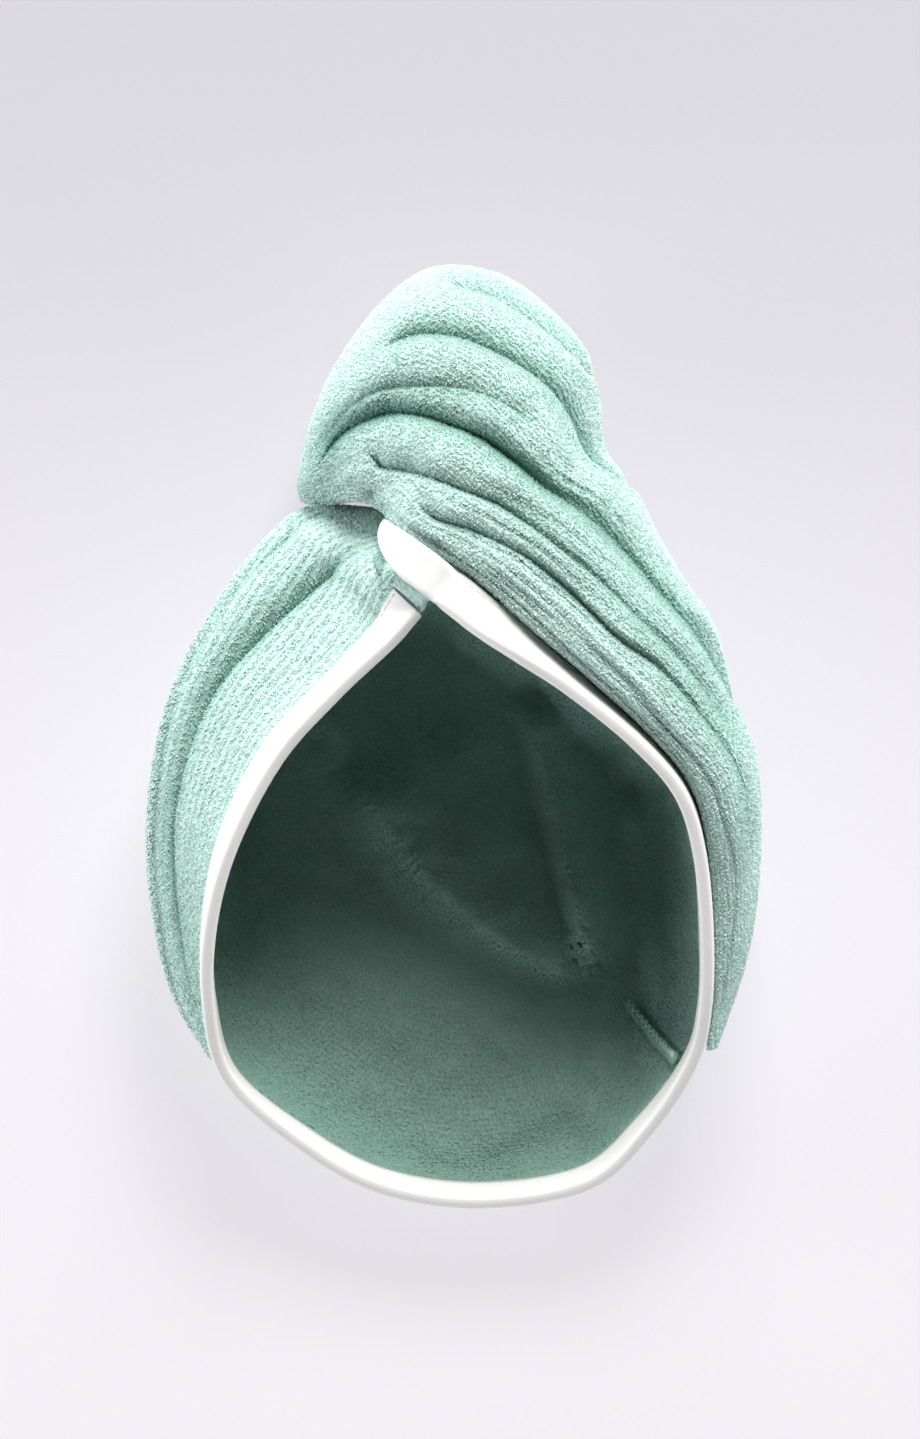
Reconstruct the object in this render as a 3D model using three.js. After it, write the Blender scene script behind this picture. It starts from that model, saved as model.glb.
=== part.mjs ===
// Hair turban towel lying on its back, the opening for the head facing up.
// Millimetres, +X across, +Y towards the twisted bun, +Z up off the surface.
import * as THREE from 'three';

// Overall sizes of the towel as it lies
const WIDTH = 220;
const LENGTH = 344;
const HEIGHT = 122;

// Cloth and tape
const CLOTH = 2.6;
const TAPE_WIDE = 13;
const TAPE_THICK = 0.8;
const GAP = 0.35;

// Flat part of the towel that touches the surface, as a share of the outline
const FLAT_SHARE = 0.72;
const CENTRE_X = 0.0;
const CENTRE_Y = -0.087;

// How finely the pieces are divided
const STEPS_PER_ROW = 3;
const BEND_STEPS = 7;
const TURN_STEPS = 4;
const FLOOR_STEPS = 7;
const ROLL_STEPS = 3;

// Makes rows with named columns
const table = (columns, rows) => {
  return rows.map((row) => Object.fromEntries(columns.map((name, k) => [name, row[k]])));
};

// Rim of the opening: a place on the edge, how steeply the edge leans in degrees,
// how far outside the edge the wall is widest, how far that place swings along
// the edge, and its height
const RIM = table(['name', 'across', 'along', 'up', 'lean', 'out', 'swing', 'outUp'], [
  ['crossing', -0.033, 0.142, 0.943, 15, 0.055, 0.000, 0.541],
  ['brow_inner', 0.036, 0.110, 0.951, 26, 0.055, 0.000, 0.541],
  ['brow_right', 0.103, 0.084, 0.951, 48, 0.055, 0.000, 0.525],
  ['temple_right', 0.182, 0.052, 0.934, 66, 0.041, 0.000, 0.508],
  ['cheek_right', 0.284, 0.000, 0.902, 75, 0.041, 0.000, 0.492],
  ['ear_right', 0.359, -0.053, 0.844, 80, 0.041, 0.000, 0.475],
  ['side_right', 0.393, -0.115, 0.770, 87, 0.041, 0.000, 0.459],
  ['side_low', 0.408, -0.199, 0.672, 90, 0.041, 0.000, 0.426],
  ['jaw_right', 0.408, -0.277, 0.574, 90, 0.041, 0.000, 0.377],
  ['corner', 0.389, -0.337, 0.475, 94, -0.005, 0.000, 0.295],
  ['nape_right', 0.321, -0.410, 0.361, 104, -0.018, 0.000, 0.172],
  ['nape_mid', 0.221, -0.471, 0.279, 108, -0.023, 0.000, 0.107],
  ['nape', 0.041, -0.492, 0.246, 110, -0.025, 0.000, 0.086],
  ['nape_low', -0.131, -0.474, 0.262, 108, -0.023, 0.000, 0.098],
  ['nape_left', -0.267, -0.422, 0.320, 104, -0.018, 0.000, 0.156],
  ['jaw_left', -0.375, -0.354, 0.410, 96, 0.000, 0.000, 0.246],
  ['side_lower', -0.403, -0.272, 0.533, 90, 0.055, 0.000, 0.311],
  ['side_left', -0.395, -0.188, 0.639, 82, 0.100, 0.000, 0.377],
  ['ear_left', -0.356, -0.105, 0.730, 70, 0.155, 0.000, 0.426],
  ['cheek_left', -0.282, -0.018, 0.803, 62, 0.211, 0.000, 0.467],
  ['temple_left', -0.189, 0.048, 0.861, 64, 0.250, 0.000, 0.492],
  ['brow_left', -0.103, 0.099, 0.893, 54, 0.264, 0.000, 0.492],
  ['brow_top', -0.072, 0.120, 0.910, 40, 0.245, 0.032, 0.475],
  ['under_tape', -0.051, 0.134, 0.916, 24, 0.134, 0.074, 0.492],
]);

// The pleats of the left side: their two valleys as shares of the way from the
// tape to the outline, and how deep they are there
const PLEATS = table(['name', 'inner', 'outer', 'deep'], [
  ['jaw_left', 0.45, 0.86, 0.0],
  ['side_lower', 0.50, 0.88, 0.2],
  ['side_left', 0.58, 0.90, 0.5],
  ['ear_left', 0.66, 0.92, 0.8],
  ['cheek_left', 0.62, 0.93, 1.0],
  ['temple_left', 0.54, 0.88, 1.0],
  ['brow_left', 0.45, 0.82, 0.9],
  ['brow_top', 0.40, 0.78, 0.3],
]);
const PLEAT_DEPTH = 7.5;
const PLEAT_HALF = 3.4;
const PLEAT_SPAN = 12;

// Folds that show inside: a bent line in plan, its height and its two flanks
const INSIDE = table(['name', 'x0', 'y0', 'x1', 'y1', 'x2', 'y2', 'high', 'steep', 'gentle'], [
  ['far_wall_step', -0.180, -0.026, -0.025, -0.215, 0.238, -0.259, 0.070, 0.155, 0.291],
  ['overlap_edge', 0.113, 0.052, 0.175, -0.094, 0.238, -0.262, 0.037, 0.091, 0.164],
]);

// Sections of the front wrap and the bun, from the lower right corner round the
// brow to the left end of the bun: inner and outer edge in plan, then heights
const WRAP = table([
  'name', 'inX', 'inY', 'outX', 'outY', 'edgeUp', 'topUp', 'sideUp', 'lowUp', 'crown', 'low',
], [
  ['corner_end', 0.416, -0.325, 0.430, -0.323, 0.443, 0.459, 0.393, 0.328, 0.30, 0.60],
  ['jaw', 0.423, -0.246, 0.475, -0.232, 0.557, 0.590, 0.459, 0.213, 0.30, 0.60],
  ['side_low', 0.417, -0.156, 0.495, -0.154, 0.672, 0.705, 0.475, 0.148, 0.30, 0.60],
  ['side', 0.403, -0.090, 0.500, -0.082, 0.762, 0.803, 0.475, 0.098, 0.30, 0.60],
  ['ear', 0.377, -0.042, 0.495, -0.018, 0.820, 0.869, 0.475, 0.066, 0.30, 0.60],
  ['cheek', 0.318, 0.004, 0.462, 0.045, 0.869, 0.918, 0.475, 0.033, 0.30, 0.60],
  ['temple', 0.244, 0.049, 0.426, 0.114, 0.910, 0.959, 0.475, 0.000, 0.33, 0.60],
  ['brow_side', 0.180, 0.084, 0.387, 0.157, 0.918, 0.984, 0.475, -0.025, 0.36, 0.60],
  ['brow', 0.115, 0.119, 0.328, 0.220, 0.926, 0.992, 0.467, -0.033, 0.40, 0.60],
  ['brow_top', 0.048, 0.157, 0.282, 0.277, 0.926, 1.000, 0.467, -0.041, 0.42, 0.60],
  ['forehead', -0.022, 0.190, 0.244, 0.306, 0.926, 1.000, 0.467, -0.041, 0.45, 0.55],
  ['knot_front', -0.072, 0.208, 0.233, 0.356, 0.910, 1.000, 0.459, -0.041, 0.48, 0.55],
  ['knot_side', -0.103, 0.223, 0.210, 0.408, 0.844, 0.992, 0.451, -0.041, 0.50, 0.55],
  ['bun_front', -0.113, 0.234, 0.148, 0.453, 0.795, 0.975, 0.451, -0.041, 0.50, 0.55],
  ['bun', -0.126, 0.240, 0.059, 0.490, 0.762, 0.951, 0.443, -0.041, 0.50, 0.55],
  ['bun_back', -0.136, 0.244, -0.041, 0.494, 0.738, 0.918, 0.434, -0.041, 0.50, 0.55],
  ['bun_turn', -0.151, 0.247, -0.138, 0.445, 0.754, 0.869, 0.410, -0.033, 0.50, 0.55],
  ['bun_left', -0.172, 0.248, -0.221, 0.361, 0.705, 0.770, 0.377, 0.000, 0.50, 0.55],
  ['bun_end', -0.200, 0.247, -0.256, 0.281, 0.574, 0.623, 0.344, 0.131, 0.50, 0.55],
  ['bun_tip', -0.228, 0.248, -0.254, 0.254, 0.426, 0.459, 0.328, 0.230, 0.50, 0.55],
]);

// Valleys between the rolls of the wrap, in order round a section: how deep, the
// sections they run between, and their share of the way across each section
// (over one, they are on the underside)
const VALLEYS = table(['name', 'deep', 'half', 'first', 'last', 'at'], [
  ['beside_tape', 1.6, 2.2, 1, 10, [
    .15, .20, .15, .07, .06, .06, .06, .07, .07, .05,
    .03, .03, .03, .03, .03, .03, .03, .03, .05, .05,
  ]],
  ['lower_roll', 3.2, 2.6, 1, 5, [
    .50, .55, .66, .49, .36, .24, .20, .20, .18, .14,
    .10, .07, .08, .08, .07, .07, .10, .10, .15, .15,
  ]],
  ['first', 5.0, 3.2, 3, 11, [
    .80, .85, .86, .80, .73, .66, .57, .47, .40, .31,
    .22, .12, .14, .13, .11, .10, .18, .20, .25, .25,
  ]],
  ['second', 5.0, 3.4, 5, 15, [
    .90, .93, .95, .93, .87, .81, .71, .66, .58, .49,
    .44, .31, .23, .18, .15, .14, .25, .30, .35, .35,
  ]],
  ['deep', 10.0, 4.6, 4, 17, [
    1.0, 1.02, 1.04, 1.04, 1.03, 1.0, .92, .88, .82, .71,
    .66, .55, .46, .40, .37, .36, .40, .52, .60, .60,
  ]],
  ['broad', 4.0, 5.0, 12, 17, [
    1.1, 1.1, 1.1, 1.12, 1.12, 1.1, 1.02, .98, .92, .84,
    .78, .70, .63, .56, .48, .46, .53, .65, .75, .75,
  ]],
  ['upper', 8.0, 5.0, 8, 15, [
    1.2, 1.2, 1.2, 1.2, 1.2, 1.2, 1.15, 1.1, 1.05, .98,
    .94, .89, .81, .76, .71, .70, .72, .80, .90, .90,
  ]],
  ['far', 6.0, 5.0, 8, 14, [
    1.3, 1.3, 1.3, 1.3, 1.3, 1.3, 1.28, 1.25, 1.22, 1.18,
    1.12, 1.03, .96, .94, .92, .92, .95, 1.0, 1.1, 1.1,
  ]],
  ['side', 6.0, 5.0, 3, 17, [
    1.5, 1.5, 1.5, 1.5, 1.46, 1.45, 1.42, 1.4, 1.38, 1.36,
    1.34, 1.3, 1.28, 1.26, 1.25, 1.25, 1.28, 1.3, 1.35, 1.35,
  ]],
  ['under', 4.0, 5.0, 6, 15, [
    1.8, 1.8, 1.8, 1.8, 1.78, 1.76, 1.74, 1.72, 1.7, 1.7,
    1.68, 1.66, 1.65, 1.64, 1.63, 1.63, 1.64, 1.66, 1.7, 1.7,
  ]],
]);
// Points of a section between one valley and the next
const BETWEEN = [1, 2, 3, 4, 4, 3, 3, 3, 4, 4, 5];

// Mixing, easing and curves through table rows
const mix = (a, b, t) => a + (b - a) * t;
const ease = (t) => {
  const c = Math.min(1, Math.max(0, t));
  return c * c * (3 - 2 * c);
};
const through = (p, q, r, s, t) => {
  const a = 2 * q;
  const b = r - p;
  const c = 2 * p - 5 * q + 4 * r - s;
  const d = 3 * q - p - 3 * r + s;
  return 0.5 * (a + b * t + c * t * t + d * t * t * t);
};
const hermite = (p, q, m, n, t) => {
  const t2 = t * t;
  const t3 = t2 * t;
  return (2 * t3 - 3 * t2 + 1) * p + (t3 - 2 * t2 + t) * m + (3 * t2 - 2 * t3) * q + (t3 - t2) * n;
};

// A column of the rim table at a place round the rim
function rimValue(column, place) {
  const n = RIM.length;
  const i = Math.floor(place);
  const at = (k) => RIM[((k % n) + n) % n][column];
  return through(at(i - 1), at(i), at(i + 1), at(i + 2), place - i);
}

// Direction in plan of the tape's upper end where it laps over at the crossing;
// the edge frame turns square to it over the first two places
const CROSS_X = -0.757;
const CROSS_Y = 0.653;

// Edge point, outward direction in plan and slope of the edge at a place
function rimFrame(place) {
  const x = rimValue('across', place) * WIDTH;
  const y = rimValue('along', place) * LENGTH;
  const z = rimValue('up', place) * HEIGHT;
  const step = 0.35;
  const dx = (rimValue('across', place + step) - rimValue('across', place - step)) * WIDTH;
  const dy = (rimValue('along', place + step) - rimValue('along', place - step)) * LENGTH;
  const size = Math.hypot(dx, dy);
  const lean = THREE.MathUtils.degToRad(rimValue('lean', place));
  const n = RIM.length;
  const turn = ease(1 - (((place % n) + n) % n) / 2);
  const nx = mix(-dy / size, CROSS_Y, turn);
  const ny = mix(dx / size, -CROSS_X, turn);
  const reach = Math.hypot(nx, ny);
  return { edge: new THREE.Vector3(x, y, z), nx: nx / reach, ny: ny / reach, lean };
}

// How far the tape reaches outside the edge in plan
const tapeReach = (f) => {
  return Math.max(0, TAPE_WIDE * Math.cos(f.lean)) + (CLOTH / 2 + GAP + TAPE_THICK) * Math.sin(f.lean);
};

// The pleat table at a place round the rim; past its ends it holds its last row
const PLEAT_PLACES = PLEATS.map((row) => RIM.findIndex((r) => r.name === row.name));
function pleatAt(place) {
  const last = PLEATS.length - 1;
  const at = Math.min(PLEAT_PLACES[last], Math.max(PLEAT_PLACES[0], place));
  let k = 0;
  while (k < last - 1 && at > PLEAT_PLACES[k + 1]) k += 1;
  const t = (at - PLEAT_PLACES[k]) / (PLEAT_PLACES[k + 1] - PLEAT_PLACES[k]);
  const value = (column) => mix(PLEATS[k][column], PLEATS[k + 1][column], t);
  const beyond = Math.max(0, place - PLEAT_PLACES[last], PLEAT_PLACES[0] - place);
  return { inner: value('inner'), outer: value('outer'), deep: value('deep') * ease(1 - beyond) };
}

// Share of the way out for a row of the wall, so that rows run along the pleats
function bendShare(pleat, row) {
  const between = (pleat.inner + pleat.outer) / 2;
  const beyond = (1 + pleat.outer) / 2;
  const stops = [0, pleat.inner * 0.3, pleat.inner * 0.68, pleat.inner, between, pleat.outer, beyond, 1];
  const k = Math.min(stops.length - 2, Math.max(0, Math.floor(row)));
  return mix(stops[k], stops[k + 1], row - k);
}
function pleatPress(pleat, place, share) {
  const span = Math.max(PLEAT_SPAN, rimValue('out', place) * WIDTH);
  const cut = (at) => Math.exp(-Math.abs(share - at) * span / PLEAT_HALF);
  return PLEAT_DEPTH * pleat.deep * ease(share / 0.12) * (cut(pleat.inner) + 0.6 * cut(pleat.outer));
}

// Height that the inside folds add at a place in plan
function insideLift(x, y) {
  let lift = 0;
  for (const row of INSIDE) {
    let best = 1e9;
    let side = 1;
    let along = 0;
    for (let i = 0; i <= 16; i += 1) {
      const t = i / 16;
      const s = 1 - t;
      const px = (s * s * row.x0 + 2 * s * t * row.x1 + t * t * row.x2) * WIDTH;
      const py = (s * s * row.y0 + 2 * s * t * row.y1 + t * t * row.y2) * LENGTH;
      const tx = (2 * s * (row.x1 - row.x0) + 2 * t * (row.x2 - row.x1)) * WIDTH;
      const ty = (2 * s * (row.y1 - row.y0) + 2 * t * (row.y2 - row.y1)) * LENGTH;
      const d = Math.hypot(x - px, y - py);
      if (d < best) {
        best = d;
        side = tx * (y - py) - ty * (x - px);
        along = t;
      }
    }
    const wide = (side > 0 ? row.gentle : row.steep) * WIDTH;
    const ends = ease(along / 0.2 + 0.2) * ease((1 - along) / 0.2 + 0.2);
    const near = Math.max(0, 1 - (best / wide) ** 2);
    lift += row.high * HEIGHT * near * near * ends;
  }
  return lift;
}

// Middle of the hood's cloth: place round the rim and row down the wall. Up to the
// lower right corner the wall keeps under the tape, because the wrap lies beside it
const HOOD_ROWS = 2 + BEND_STEPS + TURN_STEPS + FLOOR_STEPS;
const CORNER_PLACE = RIM.findIndex((row) => row.name === 'corner');
function hoodMiddle(place, row) {
  const f = rimFrame(place);
  const down = new THREE.Vector3(f.nx * Math.cos(f.lean), f.ny * Math.cos(f.lean), -Math.sin(f.lean));
  const straight = TAPE_WIDE + 0.5;
  if (row <= 2) return f.edge.clone().addScaledVector(down, straight * row / 2);
  const start = f.edge.clone().addScaledVector(down, straight);
  const widest = rimValue('out', place) * WIDTH;
  const limit = tapeReach(f) - CLOTH / 2 - GAP;
  const out = place < CORNER_PLACE ? Math.min(widest, limit) : widest;
  const up = rimValue('outUp', place) * HEIGHT;
  const swing = rimValue('swing', place) * WIDTH;
  const wide = f.edge.clone().setZ(up);
  wide.x += f.nx * out + f.ny * swing;
  wide.y += f.ny * out - f.nx * swing;
  const centre = new THREE.Vector3(CENTRE_X * WIDTH, CENTRE_Y * LENGTH, CLOTH / 2);
  const foot = centre.clone().lerp(new THREE.Vector3(wide.x, wide.y, CLOTH / 2), FLAT_SHARE);
  const point = new THREE.Vector3();
  const bend = start.distanceTo(wide);
  if (row <= 2 + BEND_STEPS) {
    const pleat = pleatAt(place);
    const t = bendShare(pleat, row - 2);
    const flat = Math.cos(f.lean);
    const spread = Math.min(bend, 3 * Math.max(0, out - straight * flat) + 1) / flat;
    const reach = Math.abs(flat) < 0.05 ? 0 : Math.min(bend, Math.abs(spread));
    point.x = hermite(start.x, wide.x, down.x * reach, 0, t);
    point.y = hermite(start.y, wide.y, down.y * reach, 0, t);
    point.z = hermite(start.z, wide.z, down.z * bend, -bend * 0.9, t);
    const press = pleatPress(pleat, place, t);
    const slope = ease(t) * 0.8;
    point.x -= f.nx * press * slope;
    point.y -= f.ny * press * slope;
    point.z -= press * (1 - slope * 0.6);
    return point;
  }
  if (row <= 2 + BEND_STEPS + TURN_STEPS) {
    const t = (row - 2 - BEND_STEPS) / TURN_STEPS;
    const angle = t * Math.PI / 2;
    point.lerpVectors(foot, wide, Math.cos(angle));
    point.z = mix(wide.z, CLOTH / 2, Math.sin(angle));
    return point;
  }
  const t = (row - 2 - BEND_STEPS - TURN_STEPS) / FLOOR_STEPS;
  point.lerpVectors(foot, centre, t);
  point.z = CLOTH / 2;
  return point;
}

function volume(geometry) {
  const p = geometry.getAttribute('position');
  const ix = geometry.getIndex().array;
  const a = new THREE.Vector3();
  const b = new THREE.Vector3();
  const c = new THREE.Vector3();
  let sum = 0;
  for (let i = 0; i < ix.length; i += 3) {
    a.fromBufferAttribute(p, ix[i]);
    b.fromBufferAttribute(p, ix[i + 1]);
    c.fromBufferAttribute(p, ix[i + 2]);
    sum += a.dot(b.cross(c));
  }
  return sum / 6;
}

// Solid from points and faces, turned so that its faces look outwards
function closedSolid(spots, faces) {
  const geometry = new THREE.BufferGeometry();
  const places = new THREE.Float32BufferAttribute(spots.flatMap((p) => [p.x, p.y, p.z]), 3);
  geometry.setAttribute('position', places);
  geometry.setIndex(faces);
  if (volume(geometry) < 0) {
    for (let i = 0; i < faces.length; i += 3) {
      const keep = faces[i];
      faces[i] = faces[i + 1];
      faces[i + 1] = keep;
    }
    geometry.setIndex(faces);
  }
  geometry.computeVertexNormals();
  return geometry;
}

// Closed solid from rings of points that share one count, with a point at each end
function solidFromRings(rings, first, last) {
  const count = rings[0].length;
  const spots = rings.flat();
  const faces = [];
  for (let r = 0; r + 1 < rings.length; r += 1) {
    for (let i = 0; i < count; i += 1) {
      const j = (i + 1) % count;
      const a = r * count + i;
      const b = r * count + j;
      const c = (r + 1) * count + i;
      const d = (r + 1) * count + j;
      faces.push(a, b, d, a, d, c);
    }
  }
  const close = (point, ring, flip) => {
    const tip = spots.length;
    spots.push(point);
    for (let i = 0; i < count; i += 1) {
      const j = (i + 1) % count;
      if (flip) faces.push(ring * count + j, ring * count + i, tip);
      else faces.push(ring * count + i, ring * count + j, tip);
    }
  };
  close(first, 0, true);
  close(last, rings.length - 1, false);
  return closedSolid(spots, faces);
}

// A point off the middle of the hood's cloth: below zero is inside, above zero outside
const LAST_TURN = 2 + BEND_STEPS + TURN_STEPS;
function hoodPoint(place, row, off) {
  const here = hoodMiddle(place, row);
  const normal = new THREE.Vector3(0, 0, -1);
  if (row <= 2) {
    const f = rimFrame(place);
    normal.set(f.nx * Math.sin(f.lean), f.ny * Math.sin(f.lean), Math.cos(f.lean));
  } else if (row < LAST_TURN) {
    const across = hoodMiddle(place + 0.25, row).sub(hoodMiddle(place - 0.25, row));
    const along = hoodMiddle(place, row + 0.5).sub(hoodMiddle(place, Math.max(0, row - 0.5)));
    normal.crossVectors(across, along).normalize();
  }
  const share = ease((row - 2 - BEND_STEPS) / TURN_STEPS);
  const point = here.clone().addScaledVector(normal, off);
  const least = CLOTH / 2 - off;
  if (point.z < least || row >= LAST_TURN) point.z = least;
  if (share > 0) point.z += insideLift(here.x, here.y) * share;
  return point;
}

// Hood: the pocket for the head, one wall of cloth from the rim down to the
// surface and across it; the outside and the inside are set off the middle
function hoodSolid() {
  const around = RIM.length * STEPS_PER_ROW;
  const skin = (row, off) => {
    const ring = [];
    for (let i = 0; i < around; i += 1) ring.push(hoodPoint(i / STEPS_PER_ROW, row, off));
    return ring;
  };
  const rings = [];
  for (let row = HOOD_ROWS - 1; row >= 0; row -= 1) rings.push(skin(row, CLOTH / 2));
  for (let row = 0; row < HOOD_ROWS; row += 1) rings.push(skin(row, -CLOTH / 2));
  const x = CENTRE_X * WIDTH;
  const y = CENTRE_Y * LENGTH;
  const lift = insideLift(x, y);
  return solidFromRings(rings, new THREE.Vector3(x, y, lift), new THREE.Vector3(x, y, CLOTH + lift));
}

// A column of the wrap table at a place along the wrap
function wrapValue(column, place) {
  const n = WRAP.length;
  const i = Math.min(n - 2, Math.max(0, Math.floor(place)));
  const at = (k) => WRAP[Math.min(n - 1, Math.max(0, k))][column];
  return through(at(i - 1), at(i), at(i + 1), at(i + 2), place - i);
}

// Angles round a section of the wrap, so that points run along the valleys
const turnOf = (share) => {
  return share <= 1 ? Math.acos(1 - 2 * share) : 2 * Math.PI - Math.acos(1 - 2 * (2 - share));
};
function valleyTurns(place) {
  const i = Math.min(WRAP.length - 2, Math.floor(place));
  const t = place - i;
  return VALLEYS.map((row) => {
    const share = mix(row.at[i], row.at[i + 1], ease(t) * 0.4 + t * 0.6);
    const fade = ease(place - row.first + 1) * ease(row.last + 1 - place);
    return { turn: turnOf(share), deep: row.deep * fade, half: row.half };
  });
}

// One ring of the wrap: a rounded section with its valleys
function wrapRing(place) {
  const inX = wrapValue('inX', place) * WIDTH;
  const inY = wrapValue('inY', place) * LENGTH;
  const outX = wrapValue('outX', place) * WIDTH;
  const outY = wrapValue('outY', place) * LENGTH;
  const edge = wrapValue('edgeUp', place) * HEIGHT;
  const top = wrapValue('topUp', place) * HEIGHT;
  const side = wrapValue('sideUp', place) * HEIGHT;
  const base = wrapValue('lowUp', place) * HEIGHT;
  const crown = wrapValue('crown', place);
  const low = wrapValue('low', place);
  const span = Math.hypot(outX - inX, outY - inY);
  const valleys = valleyTurns(place);
  const stops = [0, ...valleys.map((v) => v.turn), 2 * Math.PI];
  const angles = [];
  BETWEEN.forEach((count, k) => {
    for (let i = 0; i < count; i += 1) angles.push(mix(stops[k], stops[k + 1], i / count));
  });
  return angles.map((angle) => {
    const c = -Math.cos(angle);
    const s = Math.sin(angle);
    const pivot = s >= 0 ? crown : low;
    const bulge = s < 0 && c < 0 ? -(Math.abs(c) ** 1.5) : c;
    let share = c < 0 ? pivot + bulge * pivot : pivot + c * (1 - pivot);
    const rest = c < 0 ? edge : side;
    let z = s >= 0 ? rest + (top - rest) * s : rest + (rest - base) * s;
    let press = 0;
    valleys.forEach((v) => {
      const gap = Math.abs(angle - v.turn);
      press += v.deep * Math.exp(-gap * Math.max(span, 30) / 2 / v.half);
    });
    press *= Math.min(1, span / 45);
    const dz = z - mix(base, top, 0.45);
    const dr = (share - 0.5) * span;
    const size = Math.max(6, Math.hypot(dr, dz));
    share -= Math.max(0, dr) / size * press / span;
    if (share > 0.02) z -= dz / size * press;
    return new THREE.Vector3(mix(inX, outX, share), mix(inY, outY, share), Math.max(0, z));
  });
}

const ringCentre = (ring) => {
  const sum = new THREE.Vector3();
  ring.forEach((p) => sum.add(p));
  return sum.divideScalar(ring.length);
};

// Wrap: the twisted front roll of the towel with the bun it ends in
function wrapSolid() {
  const rings = [];
  const count = (WRAP.length - 1) * ROLL_STEPS;
  for (let k = 0; k <= count; k += 1) rings.push(wrapRing(k / ROLL_STEPS));
  return solidFromRings(rings, ringCentre(rings[0]), ringCentre(rings[rings.length - 1]));
}

// Section of the tape folded over the rim: along the cloth, and off its middle
const HALF_IN = CLOTH / 2 + GAP;
const HALF_OUT = HALF_IN + TAPE_THICK;
const FOLD_BOW = (GAP + TAPE_THICK) * 0.8;
const FOLD_REST = 0.15;
const FOLD_PLACES = 0.6;
const BEND_FROM = 0.6;
function tapeSection(edge, nx, ny, lean, wide, lower, fold) {
  const down = new THREE.Vector3(nx * Math.cos(lean), ny * Math.cos(lean), -Math.sin(lean));
  const off = new THREE.Vector3(nx * Math.sin(lean), ny * Math.sin(lean), Math.cos(lean));
  const spot = (a, b) => edge.clone().addScaledVector(down, a).addScaledVector(off, b);
  const lowOut = mix(HALF_IN, -HALF_OUT, fold);
  const lowIn = mix(HALF_IN, -HALF_IN, fold);
  const round = (HALF_OUT - lowOut) / 5;
  return [
    spot(wide, HALF_OUT),
    spot(BEND_FROM, HALF_OUT),
    spot(-FOLD_BOW, HALF_OUT - round),
    spot(-FOLD_BOW, lowOut + round),
    spot(Math.min(BEND_FROM, lower - 0.1), lowOut),
    spot(lower, lowOut),
    spot(lower, lowIn),
    spot(-GAP, lowIn),
    spot(-GAP, HALF_IN),
    spot(wide, HALF_IN),
  ];
}

// Tape: one strip from under its own end at the brow, down the left side,
// round the nape, up the right side and over its start
const OVER_LENGTH = 31;
const OVER_LIFT = 1.8;
const OVER_SINK = 2.5;
const OVER_LEAN = 0.05;
const OVER_TURN = 0.09;
const OVER_ROUND = 0.35;
const OVER_TIP = 0.12;
const OVER_STEPS = 9;
const TAPE_START = 4;
function tapeSolid() {
  const n = RIM.length;
  const rings = [];
  const steps = n * STEPS_PER_ROW - TAPE_START;
  for (let k = 0; k <= steps; k += 1) {
    const place = (steps - k) / STEPS_PER_ROW;
    const f = rimFrame(place);
    const lower = mix(TAPE_WIDE, -GAP / 2, ease((1 - place) / FOLD_PLACES));
    const fold = mix(1, FOLD_REST, ease(1 - place * STEPS_PER_ROW));
    rings.push(tapeSection(f.edge, f.nx, f.ny, f.lean, TAPE_WIDE, lower, fold));
  }
  const f = rimFrame(0);
  const start = Math.atan2(CROSS_Y, CROSS_X);
  for (let k = 1; k <= OVER_STEPS; k += 1) {
    const t = 1 - (1 - k / OVER_STEPS) ** 1.6;
    const angle = start + OVER_TURN * t;
    const round = Math.max(0, (t - OVER_ROUND) / (1 - OVER_ROUND));
    const wide = TAPE_WIDE * Math.max(OVER_TIP, Math.sqrt(1 - round * round));
    const lean = mix(f.lean, OVER_LEAN, ease(t * 2));
    const edge = f.edge.clone();
    edge.x += Math.cos(angle) * OVER_LENGTH * t + Math.sin(angle) * (TAPE_WIDE - wide);
    edge.y += Math.sin(angle) * OVER_LENGTH * t - Math.cos(angle) * (TAPE_WIDE - wide);
    edge.z += OVER_LIFT * ease(t * 5) - OVER_SINK * ease((t - 0.4) / 0.6);
    rings.push(tapeSection(edge, Math.sin(angle), -Math.cos(angle), lean, wide, -GAP / 2, FOLD_REST));
  }
  return solidFromStrip(rings);
}

// Closed solid from a hollow-sided strip: flat caps cut from matching pairs
function solidFromStrip(rings) {
  const count = rings[0].length;
  const spots = rings.flat();
  const faces = [];
  for (let r = 0; r + 1 < rings.length; r += 1) {
    for (let i = 0; i < count; i += 1) {
      const j = (i + 1) % count;
      faces.push(r * count + i, r * count + j, (r + 1) * count + j);
      faces.push(r * count + i, (r + 1) * count + j, (r + 1) * count + i);
    }
  }
  const pairs = [[0, 9], [1, 8], [2, 8], [3, 7], [4, 7], [5, 6]];
  const cap = (start, flip) => {
    for (let k = 0; k + 1 < pairs.length; k += 1) {
      const [a, b] = pairs[k];
      const [c, d] = pairs[k + 1];
      const put = (p, q, r) => {
        if (p === q || q === r || p === r) return;
        if (flip) faces.push(start + p, start + r, start + q);
        else faces.push(start + p, start + q, start + r);
      };
      put(a, b, c);
      put(c, b, d);
    }
  };
  cap(0, false);
  cap((rings.length - 1) * count, true);
  return closedSolid(spots, faces);
}

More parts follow.
